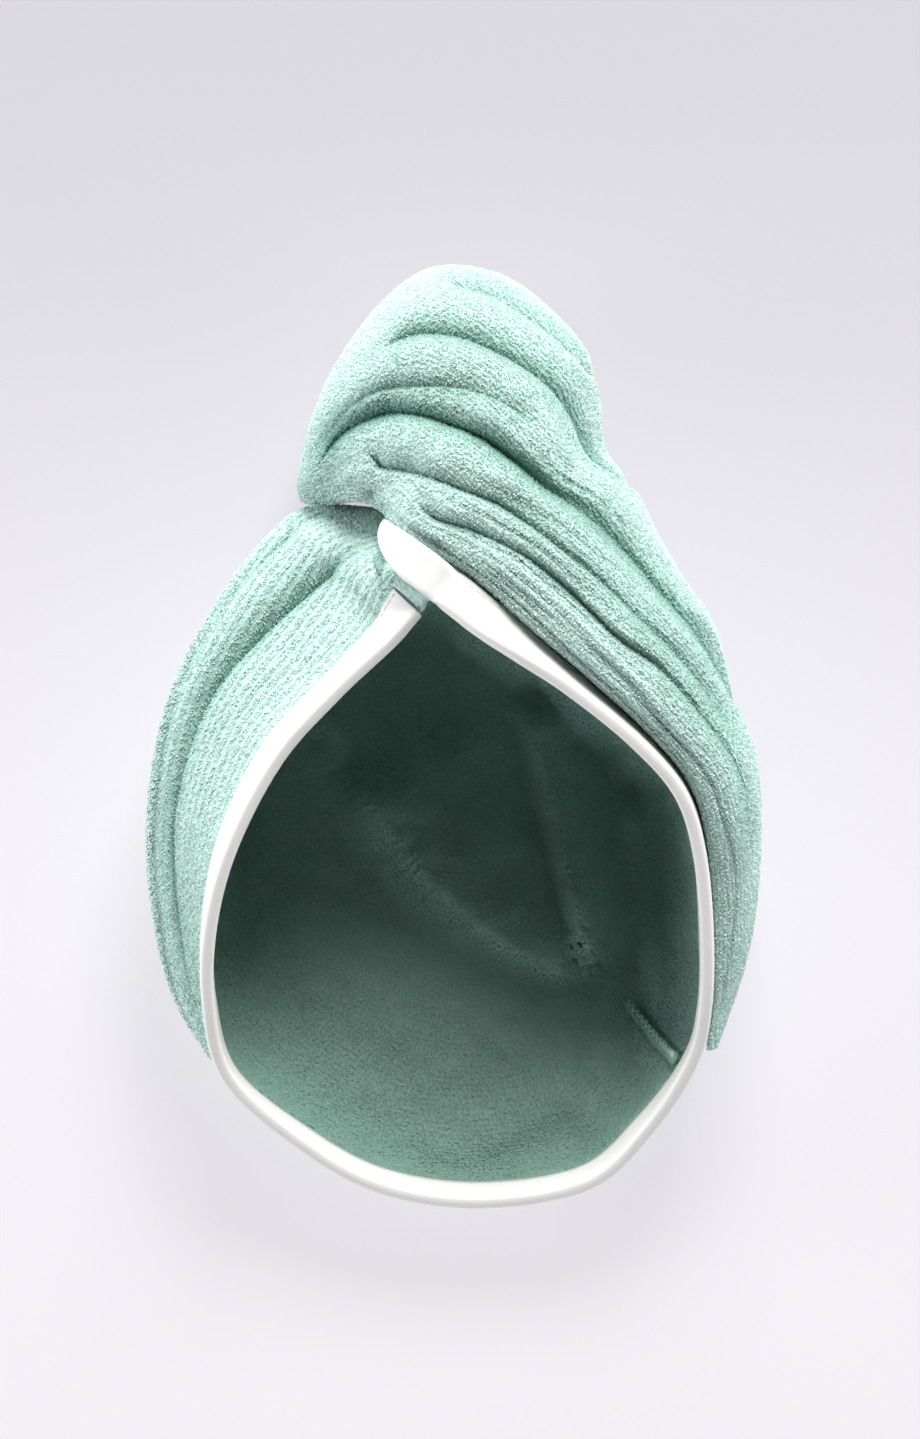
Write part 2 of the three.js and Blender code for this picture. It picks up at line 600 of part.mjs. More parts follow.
// Inner seam: the overlocked seam allowance that lies on the inside, lower right
const SEAM_WIDE = 4.4;
const SEAM_THICK = 2.2;
const SEAM_STEPS = 12;
const SEAM_PLACE = 9.12;
const SEAM_FIRST_ROW = 3.2;
const SEAM_LAST_ROW = 12.9;
const SEAM_CLEAR = 0.8;
function hoodFacet(place, row, off) {
  const p = Math.floor(place * STEPS_PER_ROW) / STEPS_PER_ROW;
  const r = Math.floor(row);
  const side = (place - p) * STEPS_PER_ROW;
  const top = hoodPoint(p, r, off).lerp(hoodPoint(p + 1 / STEPS_PER_ROW, r, off), side);
  const low = hoodPoint(p, r + 1, off).lerp(hoodPoint(p + 1 / STEPS_PER_ROW, r + 1, off), side);
  return top.lerp(low, row - r);
}
function seamSolid() {
  const rings = [];
  const inner = -(CLOTH / 2 + GAP + SEAM_CLEAR);
  for (let k = 0; k <= SEAM_STEPS; k += 1) {
    const row = mix(SEAM_FIRST_ROW, SEAM_LAST_ROW, k / SEAM_STEPS);
    const here = hoodPoint(SEAM_PLACE, row, inner);
    const beside = hoodPoint(SEAM_PLACE + 0.1, row, inner).sub(here);
    const half = SEAM_WIDE / 2 / beside.length() * 0.1;
    const ring = [];
    const shape = [[-1, 0], [1, 0], [1.05, 0.5], [0.6, 1], [-0.6, 1], [-1.05, 0.5]];
    shape.forEach(([side, rise]) => {
      ring.push(hoodFacet(SEAM_PLACE + side * half, row, inner - rise * SEAM_THICK));
    });
    rings.push(ring);
  }
  return solidFromRings(rings, ringCentre(rings[0]), ringCentre(rings[rings.length - 1]));
}

// Materials and pieces
const cloth = new THREE.MeshStandardMaterial({ color: 0xb4dccf, roughness: 0.95, metalness: 0 });
const wrapCloth = new THREE.MeshStandardMaterial({ color: 0xb8e0d2, roughness: 0.95, metalness: 0 });
const seamCloth = new THREE.MeshStandardMaterial({ color: 0x8fc2b0, roughness: 0.95, metalness: 0 });
const satin = new THREE.MeshStandardMaterial({ color: 0xf2f0ea, roughness: 0.5, metalness: 0 });

const group = new THREE.Group();
group.name = 'hair_turban_towel';
const piece = (name, geometry, material) => {
  const mesh = new THREE.Mesh(geometry, material);
  mesh.name = name;
  group.add(mesh);
};
piece('hood', hoodSolid(), cloth);
piece('wrap', wrapSolid(), wrapCloth);
piece('binding', tapeSolid(), satin);
piece('inner_seam', seamSolid(), seamCloth);

// The origin stands on the surface under the middle of the towel
const middle = new THREE.Box3().setFromObject(group).getCenter(new THREE.Vector3());
group.children.forEach((mesh) => mesh.position.set(-middle.x, -middle.y, 0));

export default group;
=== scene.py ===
import math

import bpy
import numpy as np
from mathutils import Matrix, Vector


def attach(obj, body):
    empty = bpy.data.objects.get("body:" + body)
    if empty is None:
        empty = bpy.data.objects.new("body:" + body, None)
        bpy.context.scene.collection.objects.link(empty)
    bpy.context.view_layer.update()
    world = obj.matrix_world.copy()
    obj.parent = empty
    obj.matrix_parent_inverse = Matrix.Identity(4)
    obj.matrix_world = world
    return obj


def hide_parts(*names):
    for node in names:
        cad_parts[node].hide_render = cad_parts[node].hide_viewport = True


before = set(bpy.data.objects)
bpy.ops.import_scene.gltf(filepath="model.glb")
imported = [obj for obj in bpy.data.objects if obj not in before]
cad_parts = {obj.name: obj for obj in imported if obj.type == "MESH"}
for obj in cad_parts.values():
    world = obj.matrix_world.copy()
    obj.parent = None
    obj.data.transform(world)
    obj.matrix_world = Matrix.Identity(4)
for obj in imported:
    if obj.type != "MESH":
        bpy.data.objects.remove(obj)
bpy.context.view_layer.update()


# Hood
# The pocket for the head: one wall of looped terry from the bound edge of the
# opening down to the surface and across it. It is gathered at the brow, where
# its left side lies in pleats that run in under the twisted bun.
WIDTH = 0.220
LENGTH = 0.344
HEIGHT = 0.122
CLOTH = 0.0026
TAPE_WIDE = 0.013
TAPE_THICK = 0.0008
GAP = 0.00035
MIDDLE_X = 0.00023
MIDDLE_Y = 0.00038
FLAT_SHARE = 0.72
CENTRE = np.array([0.0, -0.087 * LENGTH, 0.0])
CROSS = (-0.757, 0.653)
HOOD_AROUND = 432
BAND_EXTRA = 0.0005
BAND_ROWS = 8
BEND_ROWS = 46
TURN_ROWS = 14
FLOOR_ROWS = 44
GIRTH_ROW = 10

# Each row: across, along and up, then lean in degrees, how far the cloth
# bulges out, how far that swings to the side, and its height.
RIM = {
    "crossing": (-0.033, 0.142, 0.943, 15, 0.055, 0.000, 0.541),
    "brow_inner": (0.036, 0.110, 0.951, 26, 0.055, 0.000, 0.541),
    "brow_right": (0.103, 0.084, 0.951, 48, 0.055, 0.000, 0.525),
    "temple_right": (0.182, 0.052, 0.934, 66, 0.041, 0.000, 0.508),
    "cheek_right": (0.284, 0.000, 0.902, 75, 0.041, 0.000, 0.492),
    "ear_right": (0.359, -0.053, 0.844, 80, 0.041, 0.000, 0.475),
    "side_right": (0.393, -0.115, 0.770, 87, 0.041, 0.000, 0.459),
    "side_low": (0.408, -0.199, 0.672, 90, 0.041, 0.000, 0.426),
    "jaw_right": (0.408, -0.277, 0.574, 90, 0.041, 0.000, 0.377),
    "corner": (0.389, -0.337, 0.475, 94, -0.005, 0.000, 0.295),
    "nape_right": (0.321, -0.410, 0.361, 104, -0.018, 0.000, 0.172),
    "nape_mid": (0.221, -0.471, 0.279, 108, -0.023, 0.000, 0.107),
    "nape": (0.041, -0.492, 0.246, 110, -0.025, 0.000, 0.086),
    "nape_low": (-0.131, -0.474, 0.262, 108, -0.023, 0.000, 0.098),
    "nape_left": (-0.267, -0.422, 0.320, 104, -0.018, 0.000, 0.156),
    "jaw_left": (-0.375, -0.354, 0.410, 96, 0.000, 0.000, 0.246),
    "side_lower": (-0.403, -0.272, 0.533, 90, 0.055, 0.000, 0.311),
    "side_left": (-0.395, -0.188, 0.639, 82, 0.100, 0.000, 0.377),
    "ear_left": (-0.356, -0.105, 0.730, 70, 0.155, 0.000, 0.426),
    "cheek_left": (-0.282, -0.018, 0.803, 62, 0.211, 0.000, 0.467),
    "temple_left": (-0.189, 0.048, 0.861, 64, 0.250, 0.000, 0.492),
    "brow_left": (-0.103, 0.099, 0.893, 54, 0.264, 0.000, 0.492),
    "brow_top": (-0.072, 0.120, 0.910, 40, 0.245, 0.032, 0.475),
    "under_tape": (-0.051, 0.134, 0.916, 24, 0.134, 0.074, 0.492),
}
# Each row: where the inner and the outer pleat run, and how deep they are.
PLEATS = {
    "jaw_left": (0.45, 0.86, 0.0),
    "side_lower": (0.50, 0.88, 0.2),
    "side_left": (0.58, 0.90, 0.5),
    "ear_left": (0.66, 0.92, 0.8),
    "cheek_left": (0.62, 0.93, 1.0),
    "temple_left": (0.54, 0.88, 1.0),
    "brow_left": (0.45, 0.82, 0.9),
    "brow_top": (0.40, 0.78, 0.3),
}
PLEAT_DEPTH = 0.0095
PLEAT_HALF = 0.0034
OUTER_PLEAT = 0.6
PLEAT_RIPPLE = 0.0003

# Each row: where the crest starts, is pulled to and ends, its height, and how
# wide its steep and its gentle side are.
INSIDE_FOLDS = {
    "far_wall_step": (-0.180, -0.026, -0.025, -0.215, 0.238, -0.259, 0.125, 0.085, 0.291),
    "overlap_edge": (0.113, 0.052, 0.175, -0.094, 0.238, -0.262, 0.115, 0.036, 0.150),
    "right_fold": (0.287, -0.052, 0.328, -0.168, 0.349, -0.304, 0.070, 0.036, 0.075),
    "flap_edge": (-0.066, -0.471, 0.090, -0.440, 0.241, -0.372, 0.028, 0.045, 0.090),
    "upright_fold": (0.259, -0.307, 0.241, -0.372, 0.233, -0.429, 0.032, 0.040, 0.080),
}
CREST = 0.005
CREST_STEPS = 41
WRINKLE = 0.0012
FINE_WRINKLE = 0.0006


def ease(t):
    """From 0 to 1, level at both ends."""
    t = np.clip(t, 0.0, 1.0)
    return t * t * (3 - 2 * t)


def mix(a, b, t):
    """From a to b as t goes from 0 to 1."""
    return a + (b - a) * t


def through(rows, place, closed):
    """Rows of a table, joined by a smooth curve, at places along it."""
    n = len(rows)
    i = np.floor(place).astype(int)
    if not closed:
        i = np.clip(i, 0, n - 2)
    t = (place - i)[:, None]
    four = [i - 1, i, i + 1, i + 2]
    p, q, r, s = (rows[k % n if closed else np.clip(k, 0, n - 1)] for k in four)
    return 0.5 * (
        2 * q + (r - p) * t + (2 * p - 5 * q + 4 * r - s) * t**2 + (3 * q - p - 3 * r + s) * t**3
    )


def undulation(x, y, size, seed):
    """Soft uneven waves of about one size, from -1 to 1."""
    dice = np.random.default_rng(seed)
    total = np.zeros(np.broadcast(x, y).shape)
    waves = 9
    for _ in range(waves):
        turn = dice.uniform(0, 2 * math.pi)
        length = size * dice.uniform(0.6, 1.7)
        phase = dice.uniform(0, 2 * math.pi)
        total += np.sin((x * math.cos(turn) + y * math.sin(turn)) * 2 * math.pi / length + phase)
    return total / (waves / 2)


RIM_ROWS = np.array(list(RIM.values()))
CORNER_PLACE = list(RIM).index("corner")


def rim_frame(place):
    """Edge points, outward directions in plan, slopes and the table's other columns."""
    row = through(RIM_ROWS, place, True)
    step = 0.35
    side = through(RIM_ROWS, place + step, True) - through(RIM_ROWS, place - step, True)
    dx, dy = side[:, 0] * WIDTH, side[:, 1] * LENGTH
    size = np.hypot(dx, dy)
    turn = ease(1 - (place % len(RIM)) / 2)
    nx = mix(-dy / size, CROSS[1], turn)
    ny = mix(dx / size, -CROSS[0], turn)
    reach = np.hypot(nx, ny)
    edge = row[:, :3] * (WIDTH, LENGTH, HEIGHT)
    return edge, nx / reach, ny / reach, np.radians(row[:, 3]), row


def pleats_at(place):
    """Where the two pleats run at each place on the edge, and how deep they are."""
    names = list(RIM)
    places = [names.index(n) for n in PLEATS]
    rows = np.array(list(PLEATS.values()))
    inner, outer, deep = (np.interp(place, places, rows[:, k]) for k in range(3))
    beyond = np.maximum(0, np.maximum(place - places[-1], places[0] - place))
    return inner, outer, deep * ease(1 - beyond)


def inside_lift(x, y):
    """Height that the folds on the inside add to the cloth."""
    lift = np.zeros(x.shape)
    for x0, y0, x1, y1, x2, y2, high, steep, gentle in INSIDE_FOLDS.values():
        best = np.full(x.shape, 1e9)
        side = np.ones(x.shape)
        along = np.zeros(x.shape)
        for t in np.linspace(0, 1, CREST_STEPS):
            s = 1 - t
            px = (s * s * x0 + 2 * s * t * x1 + t * t * x2) * WIDTH
            py = (s * s * y0 + 2 * s * t * y1 + t * t * y2) * LENGTH
            tx = (s * (x1 - x0) + t * (x2 - x1)) * WIDTH
            ty = (s * (y1 - y0) + t * (y2 - y1)) * LENGTH
            d = np.hypot(x - px, y - py)
            near = d < best
            best = np.where(near, d, best)
            side = np.where(near, tx * (y - py) - ty * (x - px), side)
            along = np.where(near, t, along)
        wide = np.where(side > 0, gentle, steep) * WIDTH
        ends = ease(along / 0.2 + 0.2) * ease((1 - along) / 0.2 + 0.2)
        near = np.maximum(0, 1 - (best / wide) ** 2)
        sharp = np.where(side > 0, near**2, near**2 * (0.35 + 0.65 * np.exp(-best / CREST)))
        lift += high * HEIGHT * sharp * ends
    return lift


def hood_middle():
    """Middle of the hood's cloth as rings, and how deep each point lies in a fold, which sets the shade
    painted there.
    """
    place = np.arange(HOOD_AROUND) / HOOD_AROUND * len(RIM)
    edge, nx, ny, lean, row = rim_frame(place)
    down = np.stack([nx * np.cos(lean), ny * np.cos(lean), -np.sin(lean)], 1)
    straight = TAPE_WIDE + BAND_EXTRA
    start = edge + down * straight
    reach = np.maximum(0, TAPE_WIDE * np.cos(lean)) + (CLOTH / 2 + GAP + TAPE_THICK) * np.sin(lean)
    limit = np.where(place < CORNER_PLACE, reach - CLOTH / 2 - GAP, 1.0)
    out = np.minimum(row[:, 4] * WIDTH, limit)
    swing = row[:, 5] * WIDTH
    wide = np.stack([
        edge[:, 0] + nx * out + ny * swing, edge[:, 1] + ny * out - nx * swing, row[:, 6] * HEIGHT,
    ], 1)
    floor = CLOTH / 2
    centre = CENTRE + (0, 0, floor)
    foot = mix(centre, np.column_stack([wide[:, :2], np.full(len(place), floor)]), FLAT_SHARE)
    inner, outer, deep = pleats_at(place)
    rings, shades = [], []
    for k in range(BAND_ROWS):
        rings.append(edge + down * straight * k / BAND_ROWS)
        shades.append(np.zeros(len(place)))
    bend = np.linalg.norm(wide - start, axis=1)
    level = np.cos(lean)
    spread = np.abs((np.minimum(bend, 3 * np.maximum(0, out - straight * level) + 0.001)) / level)
    pull = np.where(np.abs(level) < 0.05, 0, np.minimum(bend, spread))
    span = np.maximum(0.012, out)
    for k in range(BEND_ROWS):
        t = np.full(len(place), k / BEND_ROWS)
        a, b = 2 * t**3 - 3 * t**2 + 1, 3 * t**2 - 2 * t**3
        m, n = t**3 - 2 * t**2 + t, t**3 - t**2
        x = a * start[:, 0] + b * wide[:, 0] + m * down[:, 0] * pull
        y = a * start[:, 1] + b * wide[:, 1] + m * down[:, 1] * pull
        z = a * start[:, 2] + b * wide[:, 2] + m * down[:, 2] * bend - n * bend * 0.9
        cut = np.exp(-np.abs(t - inner) * span / PLEAT_HALF)
        cut = cut + OUTER_PLEAT * np.exp(-np.abs(t - outer) * span / PLEAT_HALF)
        press = PLEAT_DEPTH * deep * ease(t / 0.12) * cut
        press = press + PLEAT_RIPPLE * deep * undulation(place * 0.9, t * 6, 1.6, 3)
        slope = ease(t) * 0.8
        sunk = z - press * (1 - slope * 0.6)
        rings.append(np.stack([x - nx * press * slope, y - ny * press * slope, sunk], 1))
        # Shade painted into the pleats, as strong as each pleat is deep.
        shades.append(np.clip(press / PLEAT_DEPTH, 0, 1))
    for k in range(TURN_ROWS):
        angle = k / TURN_ROWS * math.pi / 2
        ring = mix(foot, wide, math.cos(angle))
        ring[:, 2] = mix(wide[:, 2], floor, math.sin(angle))
        rings.append(ring)
        shades.append(np.zeros(len(place)))
    for k in range(FLOOR_ROWS):
        ring = mix(foot, centre, k / FLOOR_ROWS)
        ring[:, 2] = floor
        rings.append(ring)
        shades.append(np.zeros(len(place)))
    return np.array(rings), np.array(shades)


def run_along(path):
    """Distance along a path at each of its points."""
    return np.concatenate([[0], np.cumsum(np.linalg.norm(np.diff(path, axis=0), axis=1))])


def across_rings(rings):
    """Distance round each ring at each of its points."""
    across = np.linalg.norm(np.diff(rings, axis=1), axis=2)
    return np.concatenate([np.zeros((len(across), 1)), np.cumsum(across, 1)], 1)


def ring_normals(rings):
    """Outward normals of a stack of closed rings."""
    across = np.roll(rings, -1, 1) - np.roll(rings, 1, 1)
    along = np.gradient(rings, axis=0)
    normal = np.cross(across, along)
    return normal / np.maximum(np.linalg.norm(normal, axis=2, keepdims=True), 1e-12)


def cloth_mesh(name, rings, first, last, shade, down, around):
    """Closed mesh from stacked rings, with a UV map in metres and a shade attribute that sets how much
    shade is painted into its colour.
    """
    count, per = rings.shape[:2]
    spots = np.concatenate([rings.reshape(-1, 3), [first, last]])
    spots[:, :2] += (MIDDLE_X, MIDDLE_Y)
    r, i = np.meshgrid(np.arange(count - 1), np.arange(per), indexing="ij")
    j = (i + 1) % per
    quads = np.stack([r * per + i, r * per + j, (r + 1) * per + j, (r + 1) * per + i], -1).reshape(-1, 4)
    tips = np.arange(per)
    after = (tips + 1) % per
    base = (count - 1) * per
    low_fan = np.stack([after, tips, np.full(per, count * per)], 1)
    top_fan = np.stack([base + tips, base + after, np.full(per, count * per + 1)], 1)
    faces = quads.tolist() + low_fan.tolist() + top_fan.tolist()
    mesh = bpy.data.meshes.new(name)
    mesh.from_pydata(spots.tolist(), [], faces)
    mesh.validate()
    v = np.concatenate([down.reshape(-1), [down[0].mean(), down[-1].mean()]])
    u = np.concatenate([around.reshape(-1), [0, 0]])
    closing = around[:, -1] + (around[:, -1] - around[:, -2])
    layer = mesh.uv_layers.new(name="UVMap")
    corner = np.zeros(len(mesh.loops), int)
    mesh.loops.foreach_get("vertex_index", corner)
    uv = np.stack([u[corner], v[corner]], 1)
    seam = np.zeros(len(mesh.loops), bool)
    seam[: len(quads) * 4] = np.repeat(i.reshape(-1) == per - 1, 4)
    own = corner % per
    late = seam & (own == 0) & (corner < count * per)
    uv[late, 0] = closing[np.minimum(corner[late] // per, count - 1)]
    layer.data.foreach_set("uv", uv.astype(np.float32).ravel())
    shades = np.concatenate([shade.reshape(-1), [0, 0]]).astype(np.float32)
    mesh.attributes.new("shade", "FLOAT", "POINT").data.foreach_set("value", shades)
    mesh.shade_smooth()
    piece = bpy.data.objects.new(name, mesh)
    bpy.context.collection.objects.link(piece)
    return piece


def face_outwards(piece):
    """Turns a closed mesh the right way out if its volume is negative."""
    mesh = piece.data
    co = np.zeros(len(mesh.vertices) * 3)
    mesh.vertices.foreach_get("co", co)
    mesh.calc_loop_triangles()
    tri = np.zeros(len(mesh.loop_triangles) * 3, int)
    mesh.loop_triangles.foreach_get("vertices", tri)
    a, b, c = co.reshape(-1, 3)[tri].reshape(-1, 3, 3).transpose(1, 0, 2)
    if (a * np.cross(b, c)).sum() < 0:
        mesh.flip_normals()


middle, hood_shade = hood_middle()
normals = ring_normals(middle)
LAST_TURN = BAND_ROWS + BEND_ROWS + TURN_ROWS
normals[LAST_TURN:] = (0, 0, -1)
band_place = np.arange(HOOD_AROUND) / HOOD_AROUND * len(RIM)
_, out_x, out_y, slope, _ = rim_frame(band_place)
normals[: BAND_ROWS + 1] = np.stack([out_x * np.sin(slope), out_y * np.sin(slope), np.cos(slope)], 1)
share = ease((np.arange(len(middle)) - BAND_ROWS - BEND_ROWS) / TURN_ROWS)[:, None]
lift = inside_lift(middle[..., 0], middle[..., 1]) * share
outside = middle + normals * CLOTH / 2
inside = middle - normals * CLOTH / 2
outside[..., 2] = np.maximum(outside[..., 2], 0)
inside[..., 2] = np.maximum(inside[..., 2], CLOTH)
wrinkle = WRINKLE * undulation(middle[..., 0] * 0.6, middle[..., 1], 0.05, 11)
wrinkle = wrinkle + FINE_WRINKLE * undulation(middle[..., 0], middle[..., 1], 0.018, 12)
deep_in = ease((np.arange(len(middle)) - BAND_ROWS - 4) / 20)[:, None]
inside -= normals * np.abs(wrinkle[..., None]) * deep_in[..., None]
outside[..., 2] += lift
inside[..., 2] += lift
hood_rings = np.concatenate([outside[::-1], inside])
steps = np.linalg.norm(np.diff(hood_rings, axis=0), axis=2).mean(1)
hood_down = np.concatenate([[0], np.cumsum(steps)]) - steps[: len(outside)].sum()
hood_down = np.repeat(hood_down[:, None], HOOD_AROUND, 1)
girth = middle[GIRTH_ROW]
edge_run = np.linalg.norm(np.roll(girth, -1, 0) - girth, axis=1)
hood_around = np.repeat((np.cumsum(edge_run) - edge_run[0])[None, :], len(hood_rings), 0)
shade_rings = np.concatenate([hood_shade[::-1], np.zeros_like(hood_shade)])
top = Vector((CENTRE[0], CENTRE[1], CLOTH + lift[-1].mean()))
bottom = Vector((CENTRE[0], CENTRE[1], lift[-1].mean()))
hood = cloth_mesh("hood_terry", hood_rings, bottom, top, shade_rings, hood_down, hood_around)
face_outwards(hood)


MINT = (0.555, 0.775, 0.71)
# Painted shade: the darker mint that the cloth's colour turns to down in its folds.
MINT_PAINTED_SHADE = (0.15, 0.35, 0.285)
# Painted shade: a darker copy of the mint for the inside of the pocket, which is the same cloth as the
# outside.
MINT_INSIDE_PAINTED_SHADE = (0.25, 0.41, 0.36)
LOOP_ROWS = 0.0018
LOOP_SHARE = 0.8


def towel_finish(name, roughness, specular):
    """A new material for a cloth or a thread, with its nodes, its links and its shader."""
    material = bpy.data.materials.new(name)
    material.use_nodes = True
    nodes, links = material.node_tree.nodes, material.node_tree.links
    shader = nodes["Principled BSDF"]
    shader.inputs["Roughness"].default_value = roughness
    shader.inputs["Specular IOR Level"].default_value = specular
    return material, nodes, links, shader


def cloth_grain(material, scale, detail):
    """Uneven grain that stays in its place on the piece."""
    nodes, links = material.node_tree.nodes, material.node_tree.links
    place = nodes.new("ShaderNodeTexCoord")
    grains = nodes.new("ShaderNodeTexNoise")
    grains.inputs["Scale"].default_value = scale
    grains.inputs["Detail"].default_value = detail
    links.new(place.outputs["Object"], grains.inputs["Vector"])
    return grains


def roughened(material, heights, strength, distance):
    """Roughens a material's surface by a node's heights."""
    nodes, links = material.node_tree.nodes, material.node_tree.links
    bump = nodes.new("ShaderNodeBump")
    bump.inputs["Strength"].default_value = strength
    bump.inputs["Distance"].default_value = distance
    links.new(heights, bump.inputs["Height"])
    links.new(bump.outputs["Normal"], nodes["Principled BSDF"].inputs["Normal"])


def paint_shade_in_folds(material, tone):
    """Paints shade into a material: turns its tone towards a darker colour where the cloth lies in a fold.
    """
    nodes, links = material.node_tree.nodes, material.node_tree.links
    shade = nodes.new("ShaderNodeAttribute")
    shade.attribute_name = "shade"
    fold = nodes.new("ShaderNodeMix")
    fold.data_type = "RGBA"
    fold.inputs["B"].default_value = (*MINT_PAINTED_SHADE, 1)
    links.new(shade.outputs["Fac"], fold.inputs["Factor"])
    links.new(tone.outputs["Result"], fold.inputs["A"])
    links.new(fold.outputs["Result"], nodes["Principled BSDF"].inputs["Base Color"])


def terry(name, colour):
    """Looped terry: rows of small loops that follow the piece's own UV map, with shade painted into the
    pits between them.
    """
    material, nodes, links, shader = towel_finish(name, 0.95, 0.15)
    shader.inputs["Sheen Weight"].default_value = 0.35
    shader.inputs["Sheen Roughness"].default_value = 0.6
    shader.inputs["Sheen Tint"].default_value = (*colour, 1)
    where = nodes.new("ShaderNodeUVMap")
    where.uv_map = "UVMap"
    stretch = nodes.new("ShaderNodeMapping")
    stretch.inputs["Scale"].default_value = (1 / (LOOP_ROWS * LOOP_SHARE), 1 / LOOP_ROWS, 1)
    links.new(where.outputs["UV"], stretch.inputs["Vector"])
    loops = nodes.new("ShaderNodeTexVoronoi")
    loops.feature = "SMOOTH_F1"
    loops.inputs["Scale"].default_value = 1.0
    loops.inputs["Smoothness"].default_value = 0.4
    loops.inputs["Randomness"].default_value = 0.75
    links.new(stretch.outputs["Vector"], loops.inputs["Vector"])
    nap = cloth_grain(material, 1400, 2)
    clumps = cloth_grain(material, 160, 4)
    crown = nodes.new("ShaderNodeMapRange")
    crown.inputs["From Max"].default_value = 0.85
    crown.inputs["To Min"].default_value = 1.0
    crown.inputs["To Max"].default_value = 0.0
    links.new(loops.outputs["Distance"], crown.inputs["Value"])
    height = nodes.new("ShaderNodeMath")
    height.operation = "MULTIPLY_ADD"
    height.inputs[1].default_value = 0.45
    links.new(nap.outputs["Fac"], height.inputs[0])
    links.new(crown.outputs["Result"], height.inputs[2])
    total = nodes.new("ShaderNodeMath")
    total.operation = "MULTIPLY_ADD"
    total.inputs[1].default_value = 0.8
    links.new(clumps.outputs["Fac"], total.inputs[0])
    links.new(height.outputs["Value"], total.inputs[2])
    roughened(material, total.outputs["Value"], 0.55, 0.0009)
    # Painted shade: the pile's colour is darker where its bumps lie low, in the pits between loops.
    painted_pit_shade = nodes.new("ShaderNodeMapRange")
    painted_pit_shade.inputs["From Min"].default_value = 0.4
    painted_pit_shade.inputs["From Max"].default_value = 1.5
    links.new(total.outputs["Value"], painted_pit_shade.inputs["Value"])
    pile = nodes.new("ShaderNodeMix")
    pile.data_type = "RGBA"
    pile.inputs["A"].default_value = (*[c * 0.80 for c in colour], 1)
    pile.inputs["B"].default_value = (*colour, 1)
    links.new(painted_pit_shade.outputs["Result"], pile.inputs["Factor"])
    paint_shade_in_folds(material, pile)
    return material


mint_terry = terry("mint terry", MINT)
inside_terry_painted_shade = terry("mint terry inside, painted shade", MINT_INSIDE_PAINTED_SHADE)
hood.data.materials.append(mint_terry)
hood.data.materials.append(inside_terry_painted_shade)
quad_rows = np.repeat(np.arange(len(hood_rings) - 1), HOOD_AROUND)
fan_rows = np.repeat([0, len(hood_rings)], HOOD_AROUND)
# The faces inside the pocket take the copy with painted shade.
slots = np.concatenate([quad_rows, fan_rows]) >= len(outside) + BAND_ROWS
hood.data.polygons.foreach_set("material_index", slots.astype(np.int32))

TUFTS_TO_A_PIECE = 64000
ROW_SHARE = 0.66
TUFT_RADIUS = 0.00043
TUFT_HIGH = 0.00075
INSIDE_TUFT = 0.7
OUTSIDE_PILE_FROM = 0.004
WRAP_PILE_FROM = 0.003


def mark(piece, name, values):
    """Stores a number for each point of a piece."""
    layer = piece.data.attributes.new(name, "FLOAT", "POINT")
    layer.data.foreach_set("value", values.astype(np.float32))


def tuft_material(name, low, high):
    """Matt pile that is paler in places, with shade painted darker down in the folds."""
    material, nodes, links, shader = towel_finish(name, 1.0, 0.08)
    shader.inputs["Sheen Weight"].default_value = 0.7
    shader.inputs["Sheen Roughness"].default_value = 0.5
    speckle = cloth_grain(material, 900, 2)
    spread = nodes.new("ShaderNodeMapRange")
    spread.inputs["From Min"].default_value = 0.35
    spread.inputs["From Max"].default_value = 0.65
    links.new(speckle.outputs["Fac"], spread.inputs["Value"])
    pile = nodes.new("ShaderNodeMix")
    pile.data_type = "RGBA"
    pile.inputs["A"].default_value = (*low, 1)
    pile.inputs["B"].default_value = (*high, 1)
    links.new(spread.outputs["Result"], pile.inputs["Factor"])
    paint_shade_in_folds(material, pile)
    return material


def trim_tree(name, kinds):
    """A tree for pile or stitches, still empty, with the inputs that it takes."""
    tree = bpy.data.node_groups.new(name, "GeometryNodeTree")
    sockets = tree.interface
    for given, kind in {"Geometry": "Geometry", **kinds}.items():
        sockets.new_socket(given, in_out="INPUT", socket_type="NodeSocket" + kind)
    sockets.new_socket("Geometry", in_out="OUTPUT", socket_type="NodeSocketGeometry")
    return tree


def finish_trim(tree, place, given):
    """Ends a tree: its instances become one real mesh in the given material."""
    new, link = tree.nodes.new, tree.links.new
    real = new("GeometryNodeRealizeInstances")
    link(place.outputs["Instances"], real.inputs["Geometry"])
    coat = new("GeometryNodeSetMaterial")
    link(real.outputs["Geometry"], coat.inputs["Geometry"])
    link(given.outputs["Material"], coat.inputs["Material"])
    link(coat.outputs["Geometry"], new("NodeGroupOutput").inputs["Geometry"])


